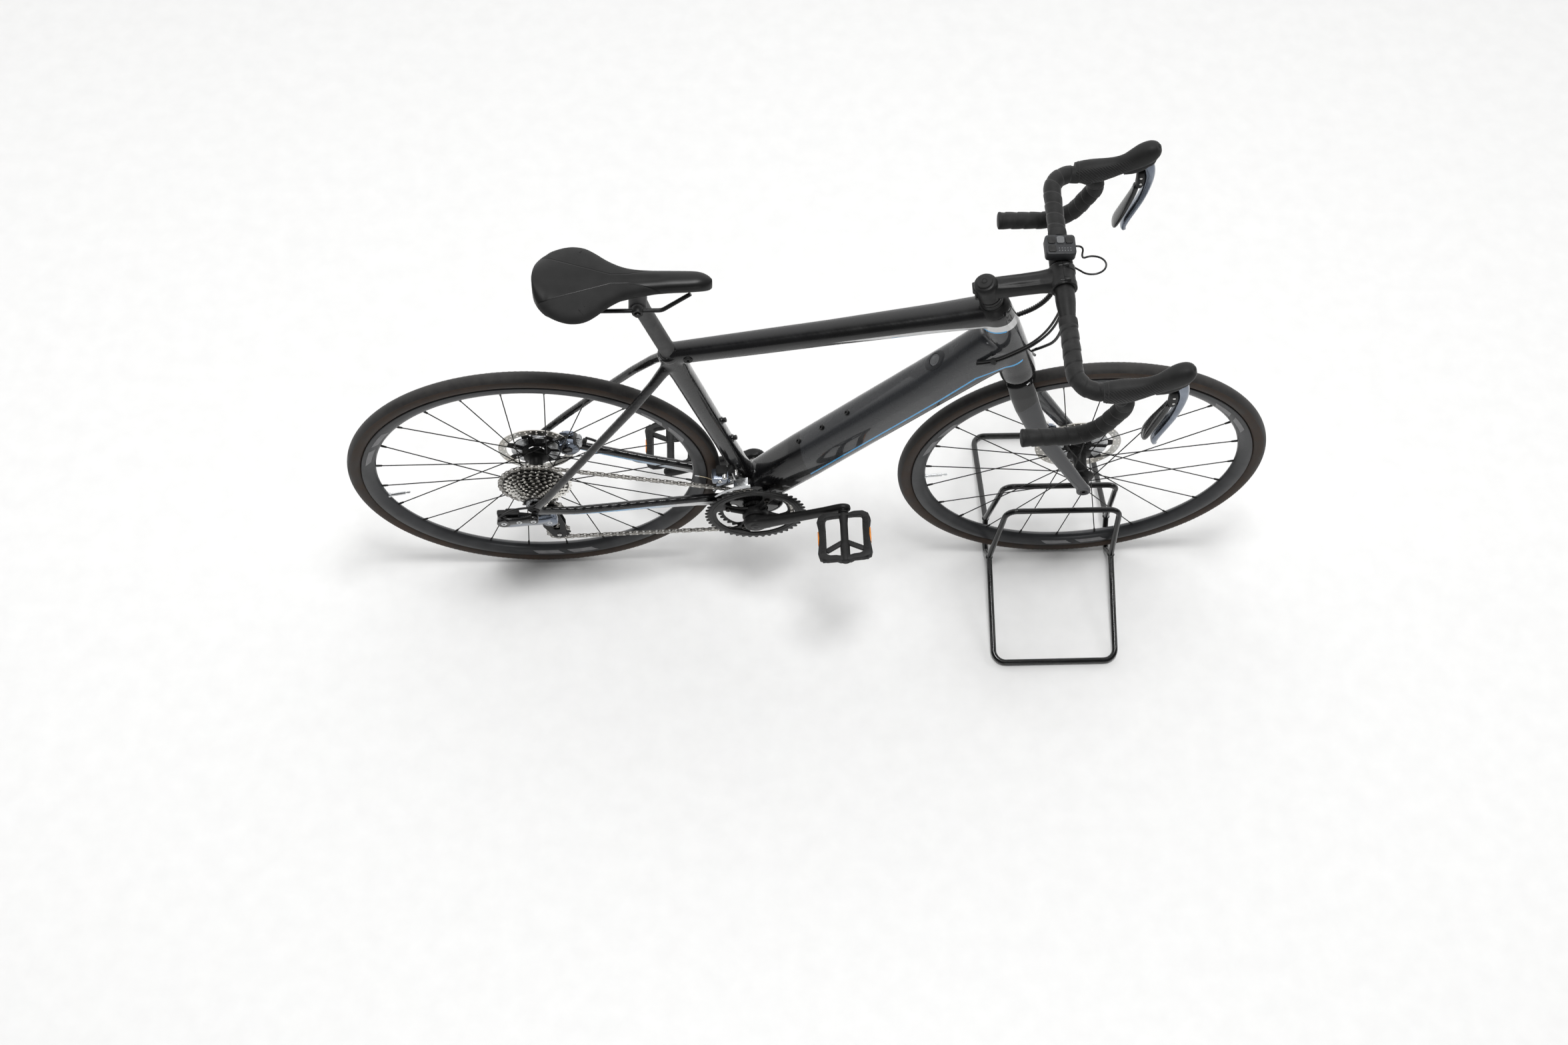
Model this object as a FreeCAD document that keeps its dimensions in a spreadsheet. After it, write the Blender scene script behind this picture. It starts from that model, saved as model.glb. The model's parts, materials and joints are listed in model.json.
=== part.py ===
import FreeCAD, Part
import Sketcher
import math
import os
from FreeCAD import Placement, Rotation, Vector

# Road bicycle with a motor in its frame, standing with its front wheel in a tube stand.
# The origin is on the floor, midway between the two axles. +X points to the front
# wheel, +Y to the bicycle's left side, +Z up. All sizes are in millimetres.
SIZES = {
    "wheelbase": 1006, "wheel_radius": 339, "tyre_half": 14, "tyre_wall": 2.5,
    "rim_outer": 313.7, "rim_inner": 287, "rim_half": 12,
    "spoke_radius": 1, "axle_radius": 6, "axle_grip": 9, "running_gap": 0.05, "clear_gap": 0.3,
    "front_over_locknuts": 100, "rear_over_locknuts": 142,
    "front_rotor_radius": 80, "rear_rotor_radius": 70, "rotor_thickness": 1.8,
    "front_rotor_side": 40, "rear_rotor_side": 50, "rotor_band": 15, "rotor_bore": 15,
    "bracket_ahead": 403, "bracket_up": 261, "housing_radius": 47, "housing_half": 35,
    "head_angle": 71.5, "fork_offset": 48, "crown_up": 363, "head_length": 208,
    "head_outer": 28, "head_bore": 22, "steerer_radius": 14.3, "steerer_wall": 2.5,
    "steerer_length": 277, "frame_wall": 2.5,
    "seat_angle": 72.8, "seat_tube_length": 506, "post_radius": 13.6, "post_wall": 2,
    "post_length": 370, "post_insert": 140,
    "saddle_top": 965, "saddle_thick": 38, "rail_radius": 3.5,
    "bar_ahead": 880, "bar_up": 938, "bar_half": 210, "clamp_radius": 15.9,
    "bar_radius": 11.9, "bar_wall": 2, "tape_thick": 2.6, "tape_start": 78,
    "stem_half": 21, "gripped_radius": 15.7, "thick_half": 42,
    "crank_length": 172.5, "crank_turn": 23.4, "spindle_radius": 12,
    "outer_ring_radius": 95.5, "inner_ring_radius": 64.2, "ring_side": 52,
    "chain_side": 44.5, "chain_half_width": 2.8, "chain_half_height": 4.2,
    "ring_pitch_radius": 68.8, "cog_pitch_radius": 64.8, "cog_side": 24,
    "cog_step": 3.74, "cog_thick": 1.8, "pulley_radius": 17, "pulley_half": 3.5,
    "pedal_length": 100, "pedal_width": 96, "pedal_thick": 15, "pedal_tilt": 9.5,
    "stand_tube": 5.5, "stand_reach": 254.5, "stand_back": 865, "stand_front": 1103,
    "joint_back": 869, "joint_front": 1112, "joint_side": 43, "joint_up": 42,
    "arch_side": 27, "arch_up": 203, "arch_back": 885, "arch_front": 1103,
    "hose_radius": 2.5, "cable_radius": 2.1, "bundle_radius": 4, "remote_wire_radius": 1.5,
}
COG_TEETH = (28, 25, 22, 20, 18, 16, 14, 13, 12, 11)
SPOKES = 24

doc = FreeCAD.newDocument("bicycle_on_stand")
sheet = doc.addObject("Spreadsheet::Sheet", "Sizes")
for row, (alias, amount) in enumerate(SIZES.items(), start=1):
    sheet.set("A%d" % row, alias)
    sheet.set("B%d" % row, str(amount))
    sheet.setAlias("B%d" % row, alias)
doc.recompute()

X_AXIS = Vector(1, 0, 0)
Y_AXIS = Vector(0, 1, 0)
Z_AXIS = Vector(0, 0, 1)
BOTH_SIDES = (-1, 1)
nodes = []


def size(alias):
    """A driving dimension, read from the sheet."""
    return float(sheet.get(alias))


def spot(ahead, side, up):
    """A point by its distance ahead of the rear axle, to the left, and above the floor."""
    return Vector(ahead - size("wheelbase") / 2, side, up)


REAR_AXLE = spot(0, 0, size("wheel_radius"))
FRONT_AXLE = spot(size("wheelbase"), 0, size("wheel_radius"))
BRACKET = spot(size("bracket_ahead"), 0, size("bracket_up"))
HEAD_TILT = math.radians(size("head_angle"))
STEER = Vector(-math.cos(HEAD_TILT), 0, math.sin(HEAD_TILT))
STEER_FRONT = Vector(math.sin(HEAD_TILT), 0, math.cos(HEAD_TILT))
CROWN = FRONT_AXLE - STEER_FRONT * size("fork_offset") + STEER * size("crown_up")
SEAT_TILT = math.radians(size("seat_angle"))
SEAT = Vector(-math.cos(SEAT_TILT), 0, math.sin(SEAT_TILT))


def keep(item, label):
    """Registers a finished sub-part under its node name."""
    item.Label = label
    nodes.append(item)
    return item


def shaped(label, *solids):
    """A sub-part whose solids are computed here, where no ready feature fits."""
    item = doc.addObject("Part::Feature", label)
    item.Shape = solids[0] if len(solids) == 1 else Part.makeCompound(solids)
    return keep(item, label)


def bind(item, **links):
    """Ties an object's properties to expressions over the sheet."""
    for prop, text in links.items():
        item.setExpression(prop, text)
    return item


def rod(name, radius, length, base):
    """A cylinder primitive along Y whose radius and length follow the sheet."""
    item = doc.addObject("Part::Cylinder", name)
    bind(item, Radius=radius, Height=length)
    item.Placement = Placement(base, Rotation(Z_AXIS, Y_AXIS))
    return item


def biggest(shape):
    """The main solid, when a cut leaves slivers beside it."""
    return max(shape.Solids, key=lambda s: s.Volume)


def cut(name, base, tool):
    item = doc.addObject("Part::Cut", name)
    item.Base = base
    item.Tool = tool
    return item


def turned(label, loops, place):
    """A PartDesign body turned about its own Y axis.

    Each loop lists (radius, place along the axis) corners as expressions.
    """
    body = doc.addObject("PartDesign::Body", label)
    sketch = body.newObject("Sketcher::SketchObject", label + "_profile")
    planes = [p for p in body.Origin.OriginFeatures if p.Role == "XY_Plane"]
    sketch.AttachmentSupport = [(planes[0], "")]
    sketch.MapMode = "FlatFace"
    first = 0
    for loop in loops:
        count = len(loop)
        for i in range(count):
            turn = 2 * math.pi * i / count
            after = 2 * math.pi * (i + 1) / count
            start = Vector(200 + 50 * math.cos(turn), 50 * math.sin(turn), 0)
            end = Vector(200 + 50 * math.cos(after), 50 * math.sin(after), 0)
            sketch.addGeometry(Part.LineSegment(start, end), False)
        for i, (radius, along) in enumerate(loop):
            line = first + i
            follower = first + (i + 1) % count
            sketch.addConstraint(Sketcher.Constraint("Coincident", line, 2, follower, 1))
            for kind, text in (("DistanceX", radius), ("DistanceY", along)):
                number = sketch.addConstraint(Sketcher.Constraint(kind, -1, 1, line, 1, 50.0))
                sketch.setExpression("Constraints[%d]" % number, text)
        first += count
    turn = body.newObject("PartDesign::Revolution", label + "_turn")
    turn.Profile = sketch
    turn.ReferenceAxis = (sketch, ["V_Axis"])
    turn.Angle = 360
    body.Placement = place
    return body


def rounded_wire(points, radii):
    """Straight runs joined by tangent arcs, with one radius for each inner point."""
    edges = []
    start = points[0]
    corners = zip(points, points[1:], points[2:], radii)
    for before, corner, after, radius in corners:
        into = (corner - before).normalize()
        out = (after - corner).normalize()
        half_turn = into.getAngle(out) / 2
        reach = radius * math.tan(half_turn)
        bulge = radius / math.cos(half_turn) - radius
        middle = corner + (out - into).normalize() * bulge
        arc_start = corner - into * reach
        arc_end = corner + out * reach
        edges.append(Part.LineSegment(start, arc_start).toShape())
        edges.append(Part.Arc(arc_start, middle, arc_end).toShape())
        start = arc_end
    edges.append(Part.LineSegment(start, points[-1]).toShape())
    return Part.Wire(edges)


def bent_rod(points, radii, radius):
    """A round bar swept along straight runs and tangent arcs."""
    path = rounded_wire(points, radii)
    heading = points[1] - points[0]
    section = Part.Wire(Part.makeCircle(radius, points[0], heading))
    return path.makePipeShell([section], True, False)


def bent_tube(points, radii, outer, inner):
    return bent_rod(points, radii, outer).cut(bent_rod(points, radii, inner))


def easy_radii(points):
    """The largest arc that each corner's two runs allow."""
    radii = []
    for before, corner, after in zip(points, points[1:], points[2:]):
        run = min((corner - before).Length, (after - corner).Length)
        half_turn = (corner - before).getAngle(after - corner) / 2
        radii.append(0.45 * run / math.tan(half_turn))
    return radii


def oval(centre, across, tall, normal):
    """A closed oval: 'across' is its half width along Y, 'tall' its other half size."""
    ring = Part.Circle(Vector(), Z_AXIS, 1).toBSpline()
    upright = normal.cross(Y_AXIS).normalize()
    for number, pole in enumerate(ring.getPoles(), start=1):
        ring.setPole(number, centre + Y_AXIS * across * pole.x + upright * tall * pole.y)
    return Part.Wire(ring.toShape())


def hollow_loft(stations, wall):
    """A thin-walled tube through ovals given as (centre, half width, half height, normal)."""
    outer = Part.makeLoft([oval(*s) for s in stations], True, False)
    inner = Part.makeLoft([oval(c, a - wall, b - wall, n) for c, a, b, n in stations], True, False)
    return outer, outer.cut(inner)


def block(low, high):
    extent = high - low
    return Part.makeBox(extent.x, extent.y, extent.z, low)


def bar_box(start, end, half_side, half_tall):
    """A rectangular bar between two points, its width along Y."""
    run = end - start
    bar = Part.makeBox(run.Length, 2 * half_side, 2 * half_tall, Vector(0, -half_side, -half_tall))
    bar.Placement = Placement(start, Rotation(run, Y_AXIS, Vector(), "XYZ"))
    return bar


def disc(radius, low_side, high_side, centre):
    """A solid disc about a Y axis, between two sides."""
    base = Vector(centre.x, low_side, centre.z)
    return Part.makeCylinder(radius, high_side - low_side, base, Y_AXIS)


def ahead_of(centre, radius, degrees):
    """A point at a radius and an angle up from forwards, in the bicycle's middle plane."""
    turn = math.radians(degrees)
    return centre + Vector(radius * math.cos(turn), 0, radius * math.sin(turn))


# ---- the stand ----

def make_stand():
    tube = size("stand_tube")
    reach, side, up = size("stand_reach"), size("joint_side"), size("joint_up")
    for label, sign in (("near", -1), ("far", 1)):
        floor_loop = [
            spot(size("joint_back"), sign * side, up),
            spot(size("stand_back"), sign * reach, tube),
            spot(size("stand_front"), sign * reach, tube),
            spot(size("joint_front"), sign * side, up)]
        shaped("stand_%s_loop" % label, bent_rod(floor_loop, (24, 24), tube))
        arch = [
            spot(size("joint_back"), sign * side, up),
            spot(size("arch_back"), sign * size("arch_side"), size("arch_up")),
            spot(size("arch_front"), sign * size("arch_side"), size("arch_up")),
            spot(size("joint_front"), sign * side, up)]
        shaped("stand_%s_arch" % label, bent_rod(arch, (22, 22), tube))
    cradles = []
    for ahead in (size("joint_back"), size("joint_front")):
        low = 2.2 * tube
        dip = [
            spot(ahead, -side, up), spot(ahead, -side / 3, low - tube),
            spot(ahead, side / 3, low - tube), spot(ahead, side, up)]
        cradles.append(bent_rod(dip, (10, 10), tube))
    shaped("stand_cradle_bars", *cradles)


# ---- the wheels ----

def make_tyre(label, centre):
    """A hollow tyre: a torus with a smaller torus and the rim's own place cut away."""
    casing = bind(doc.addObject("Part::Torus", label + "_casing"),
                  Radius1="Sizes.wheel_radius - Sizes.tyre_half", Radius2="Sizes.tyre_half")
    air = bind(doc.addObject("Part::Torus", label + "_air"),
               Radius1="Sizes.wheel_radius - Sizes.tyre_half",
               Radius2="Sizes.tyre_half - Sizes.tyre_wall")
    for ring in (casing, air):
        ring.Placement = Placement(centre, Rotation(Z_AXIS, Y_AXIS))
    seat = rod(label + "_seat", "Sizes.rim_outer", "2 * Sizes.tyre_half",
               centre - Y_AXIS * size("tyre_half"))
    keep(cut(label, cut(label + "_hollow", casing, air), seat), label)


def make_rim(label, centre):
    """A hollow aero rim with a rounded spoke bed."""
    outer = [("Sizes.rim_outer", "-Sizes.rim_half + 1"), ("Sizes.rim_outer", "Sizes.rim_half - 1"),
             ("Sizes.rim_outer - 8", "Sizes.rim_half"), ("Sizes.rim_inner + 6", "6"),
             ("Sizes.rim_inner", "2"), ("Sizes.rim_inner", "-2"),
             ("Sizes.rim_inner + 6", "-6"), ("Sizes.rim_outer - 8", "-Sizes.rim_half")]
    inner = [("Sizes.rim_outer - 6", "-Sizes.rim_half + 3"),
             ("Sizes.rim_outer - 6", "Sizes.rim_half - 3"),
             ("Sizes.rim_inner + 7", "3.5"), ("Sizes.rim_inner + 3", "1"),
             ("Sizes.rim_inner + 3", "-1"), ("Sizes.rim_inner + 7", "-3.5")]
    keep(turned(label, [outer, inner], Placement(centre, Rotation())), label)


def hub_outline(left_end, left_flange, right_flange, right_end):
    """The half section of a hub shell between two flanges, bored for its axle."""
    bore = "Sizes.axle_radius + Sizes.running_gap"
    return [(bore, right_end), ("11", right_end), ("12", "%s - 6" % right_flange),
            ("22", "%s - 2" % right_flange), ("22", "%s + 2" % right_flange),
            ("13", "%s + 6" % right_flange), ("13", "%s - 6" % left_flange),
            ("22", "%s - 2" % left_flange), ("22", "%s + 2" % left_flange),
            ("15", "%s + 5" % left_flange), ("15", left_end), (bore, left_end)]


def make_spokes(label, centre, left_flange, right_flange, start_turn):
    """Crossed steel spokes, in alternate pairs to the left and the right flange."""
    rods = []
    for i in range(SPOKES):
        flange = left_flange if i % 2 else right_flange
        lead = 62 if (i // 2) % 2 else -62
        rim_turn = start_turn + 360 * i / SPOKES
        hub_end = ahead_of(centre, 21, rim_turn + lead) + Y_AXIS * flange
        rim_end = ahead_of(centre, size("rim_inner") - 0.2, rim_turn)
        run = rim_end - hub_end
        rods.append(Part.makeCylinder(size("spoke_radius"), run.Length, hub_end, run))
    shaped(label, *rods)


def make_rotor(label, centre, radius, side):
    """A braking ring with cooling holes on a spider, which sits on the hub."""
    bore = "Sizes.rotor_bore"
    outline = [(bore, "-Sizes.rotor_thickness / 2"), (radius, "-Sizes.rotor_thickness / 2"),
               (radius, "Sizes.rotor_thickness / 2"), (bore, "Sizes.rotor_thickness / 2")]
    body = turned(label, [outline], Placement(centre + Y_AXIS * side, Rotation()))
    sketch = body.newObject("Sketcher::SketchObject", label + "_hole")
    planes = [p for p in body.Origin.OriginFeatures if p.Role == "XZ_Plane"]
    sketch.AttachmentSupport = [(planes[0], "")]
    sketch.MapMode = "FlatFace"
    sketch.addGeometry(Part.Circle(Vector(40, 0, 0), Z_AXIS, 3), False)
    sketch.addConstraint(Sketcher.Constraint("PointOnObject", 0, 3, -1))
    place = sketch.addConstraint(Sketcher.Constraint("DistanceX", -1, 1, 0, 3, 40))
    sketch.setExpression("Constraints[%d]" % place, "%s - Sizes.rotor_band / 2" % radius)
    sketch.addConstraint(Sketcher.Constraint("Radius", 0, 3))
    pocket = body.newObject("PartDesign::Pocket", label + "_drill")
    pocket.Profile = sketch
    pocket.Type = 1
    pocket.Midplane = True
    pattern = body.newObject("PartDesign::PolarPattern", label + "_holes")
    pattern.Originals = [pocket]
    pattern.Axis = (sketch, ["N_Axis"])
    pattern.Angle = 360
    pattern.Occurrences = 18
    body.Tip = pattern
    keep(body, label)


def make_front_wheel():
    make_tyre("front_tyre", FRONT_AXLE)
    make_rim("front_rim", FRONT_AXLE)
    make_spokes("front_spokes", FRONT_AXLE, 20, -28, 0)
    half = "Sizes.front_over_locknuts / 2"
    outline = hub_outline("Sizes.front_rotor_side - 1.2", "20", "-28", "-%s + 4" % half)
    keep(turned("front_hub", [outline], Placement(FRONT_AXLE, Rotation())), "front_hub")
    make_rotor("front_rotor", FRONT_AXLE, "Sizes.front_rotor_radius", size("front_rotor_side"))


def make_rear_wheel():
    make_tyre("rear_tyre", REAR_AXLE)
    make_rim("rear_rim", REAR_AXLE)
    make_spokes("rear_spokes", REAR_AXLE, 32, -14, 7.5)
    outline = hub_outline("Sizes.rear_rotor_side - 1.2", "32", "-14", "-20.5")
    keep(turned("rear_hub", [outline], Placement(REAR_AXLE, Rotation())), "rear_hub")
    make_rotor("rear_rotor", REAR_AXLE, "Sizes.rear_rotor_radius", size("rear_rotor_side"))


def make_axles():
    """Through axles, one in the fork and one in the frame."""
    for end, centre in (("front", FRONT_AXLE), ("rear", REAR_AXLE)):
        alias = end + "_over_locknuts"
        half = size(alias) / 2 + size("axle_grip")
        length = "Sizes.%s + 2 * Sizes.axle_grip" % alias
        keep(rod(end + "_axle", "Sizes.axle_radius", length, centre - Y_AXIS * half), end + "_axle")


# ---- the fork and what rides on it ----

def on_steerer(up):
    """A point on the steering axis, by its distance above the fork's crown."""
    return CROWN + STEER * up


def make_fork():
    """Steerer tube, crown and two blades, moulded in one piece."""
    root = -10
    length = size("steerer_length") - root
    steerer = Part.makeCylinder(size("steerer_radius"), length, on_steerer(root), STEER)
    hollow = Part.makeCylinder(size("steerer_radius") - size("steerer_wall"),
                               length, on_steerer(root), STEER)
    crown = Part.makeCone(28, size("head_outer") - 0.5, 20, on_steerer(-20.5), STEER)
    pieces = [crown, steerer.cut(hollow)]
    tip_half = size("front_over_locknuts") / 2
    for side in BOTH_SIDES:
        top = on_steerer(-6) + Y_AXIS * side * 24
        middle = on_steerer(-150) + Y_AXIS * side * 43 + STEER_FRONT * 6
        tip = FRONT_AXLE + Y_AXIS * side * (tip_half + 6)
        stations = [(top, 10, 22, STEER), (on_steerer(-60) + Y_AXIS * side * 31, 9, 22, STEER),
                    (middle, 8.5, 17, STEER), (tip + STEER * 7, 5.5, 12, STEER)]
        blade = Part.makeLoft([oval(*s) for s in stations], True, False)
        eye = disc(13, tip.y - 5.7, tip.y + 5.7, FRONT_AXLE)
        pieces += [blade, eye]
    body = pieces[0].multiFuse(pieces[1:])
    axle_hole = disc(size("axle_radius"), -80, 80, FRONT_AXLE)
    shaped("fork", body.cut(axle_hole))


def make_headset():
    """Two sealed bearings in the head tube, a cone cover, spacers and a top cap."""
    length = size("head_length")
    outer, inner = size("head_bore") - size("running_gap"), size("steerer_radius")
    rings = []
    for low, high, radius in ((3, 10, outer), (length - 10, length - 3, outer),
                              (length + 0.4, length + 16, 26), (length + 16.2, length + 26, 19),
                              (length + 26.2, length + 33, 19)):
        ring = Part.makeCylinder(radius, high - low, on_steerer(low), STEER)
        rings.append(ring.cut(Part.makeCylinder(inner, high - low, on_steerer(low), STEER)))
    top = size("steerer_length")
    rings.append(Part.makeCylinder(17, 4, on_steerer(top + 0.2), STEER))
    shaped("headset", *rings)


def bar_middle():
    return spot(size("bar_ahead"), 0, size("bar_up"))


def make_stem():
    """The stem clamps the steerer behind and half of the bar in front."""
    clamp_low = size("head_length") + 33.4
    clamp_high = size("steerer_length")
    hub = Part.makeCylinder(19.5, clamp_high - clamp_low, on_steerer(clamp_low), STEER)
    root = on_steerer((clamp_low + clamp_high) / 2)
    front = bar_middle()
    run = (front - root).normalize()
    body = Part.makeLoft([oval(root + run * 6, 16, 17, run), oval(front - run * 12, 20, 17, run)],
                         True, False)
    half = size("stem_half")
    grip = disc(size("gripped_radius") + 5, -half, half, front)
    solid = hub.multiFuse([body, grip])
    solid = solid.cut(Part.makeCylinder(size("steerer_radius"), 80, on_steerer(200), STEER))
    bar_hole = disc(size("gripped_radius"), -60, 60, front)
    solid = solid.cut(bar_hole)
    split = bar_box(front + run * 1, front + run * 60, 60, 60)
    bolts = []
    for side in BOTH_SIDES:
        for rise in BOTH_SIDES:
            tall = Vector(-run.z, 0, run.x) * rise * 19.3
            seat = front + tall + Y_AXIS * side * 14
            bolts.append(Part.makeCylinder(2.5, 22, seat - run * 4, run))
    face = grip.cut(bar_hole)
    face = face.common(bar_box(front + run * 2, front + run * 60, 60, 60))
    for bolt in bolts:
        solid = solid.cut(bolt)
        face = face.cut(bolt)
    shaped("stem", solid.cut(split))
    shaped("stem_faceplate", face, *bolts)


def bar_route(side, start):
    """One half of the drop bar, from a distance off the middle to the lower end."""
    half = size("bar_half")
    ahead, up = size("bar_ahead"), size("bar_up")
    return [spot(ahead, side * start, up), spot(ahead, side * (half - 4), up),
            spot(ahead + 98, side * half, up - 6), spot(ahead + 46, side * half, up - 130),
            spot(ahead - 66, side * (half + 2), up - 132)]


BAR_BENDS = (38, 36, 66)


def make_bar():
    """A drop bar: a thick middle, and a thinner bent tube on each side of it."""
    thick, thin, wall = size("clamp_radius"), size("bar_radius"), size("bar_wall")
    start, half, gripped = size("tape_start"), size("thick_half"), size("stem_half")
    taper = start - half
    hollow = disc(thick - wall, -half, half, bar_middle())
    pieces = [disc(size("gripped_radius"), -gripped, gripped, bar_middle()).cut(hollow),
              disc(thick, -half, -gripped, bar_middle()).cut(hollow),
              disc(thick, gripped, half, bar_middle()).cut(hollow)]
    tapes = []
    for side in BOTH_SIDES:
        route = bar_route(side, start)
        neck = route[0] - Y_AXIS * side * taper
        cone = Part.makeCone(thick, thin, taper, neck, Y_AXIS * side)
        core = Part.makeCone(thick - wall, thin - wall, taper, neck, Y_AXIS * side)
        pieces += [cone.cut(core), bent_tube(route, BAR_BENDS, thin, thin - wall)]
        tapes.append(bent_tube(route, BAR_BENDS, thin + size("tape_thick"), thin))
    shaped("handlebar", pieces[0].multiFuse(pieces[1:]))
    shaped("bar_tape", *tapes)


def make_hoods_and_levers():
    """Rubber-covered brackets, each with a brake lever and a shift paddle."""
    half = size("bar_half")
    for label, side in (("right", -1), ("left", 1)):
        route = bar_route(side, size("tape_start"))
        tape = bent_rod(route, BAR_BENDS, size("bar_radius") + size("tape_thick") + 0.05)
        y = side * half
        stations = [(spot(938, y, 941), 16, 19, X_AXIS), (spot(975, y, 948), 16, 21, X_AXIS),
                    (spot(1010, y, 966), 15, 24, X_AXIS), (spot(1036, y, 985), 14, 26, X_AXIS),
                    (spot(1048, y, 992), 10, 18, X_AXIS)]
        hood = Part.makeLoft([oval(*s) for s in stations], True, False).cut(tape)
        slot = block(spot(1006, y - 9, 900), spot(1070, y + 9, 976))
        shaped("hood_" + label, biggest(hood.cut(slot)))
        stations = [(spot(1030, y, 970), 7, 8, Z_AXIS), (spot(1046, y, 930), 7, 8, Z_AXIS),
                    (spot(1044, y, 880), 8, 6, Z_AXIS), (spot(1030, y, 820), 9, 5, Z_AXIS),
                    (spot(1028, y, 784), 6, 5, Z_AXIS)]
        lever = Part.makeLoft([oval(*s) for s in stations], True, False)
        pivot = disc(4, y - 8.8, y + 8.8, spot(1030, y, 964))
        shaped("brake_lever_" + label, lever.fuse(pivot))
        paddle = [(spot(1027, y, 905), 6, 3, Z_AXIS), (spot(1024, y, 860), 8, 4, Z_AXIS),
                  (spot(1010, y, 800), 9, 4, Z_AXIS)]
        blade = Part.makeLoft([oval(*s) for s in paddle], True, False)
        pin = Part.makeCylinder(3.5, 13, spot(1032, y, 892))
        shaped("shift_paddle_" + label, blade.fuse(pin))


def make_caliper(label, centre, radius, side, degrees, neighbours):
    """Two pad housings each side of the rotor, bridged outside its edge."""
    gap = size("rotor_thickness") / 2 + 1
    middle = ahead_of(centre, radius - 8, degrees) + Y_AXIS * side
    out = (ahead_of(centre, radius, degrees) - centre).normalize()
    body = bar_box(middle - out * 16, middle + out * 22, 15, 22)
    slot = bar_box(middle - out * 40, middle + out * 11, gap, 40)
    shape = body.cut(slot)
    for neighbour in neighbours:
        shape = shape.cut(doc.getObject(neighbour).Shape)
    shaped(label, biggest(shape))


def make_remote():
    """A small button unit on a strap round the bar, left of the stem."""
    low, high = 24, 40
    strap = disc(size("clamp_radius") + 3, low, high, bar_middle())
    strap = strap.cut(disc(size("clamp_radius"), low, high, bar_middle()))
    base = spot(size("bar_ahead"), 0, size("bar_up") + size("clamp_radius") + 1)
    pad = block(base + Vector(-30, low - 2, 1.5), base + Vector(20, high + 20, 24))
    shaped("bar_remote", strap.fuse(pad))


# ---- the frame ----

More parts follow.
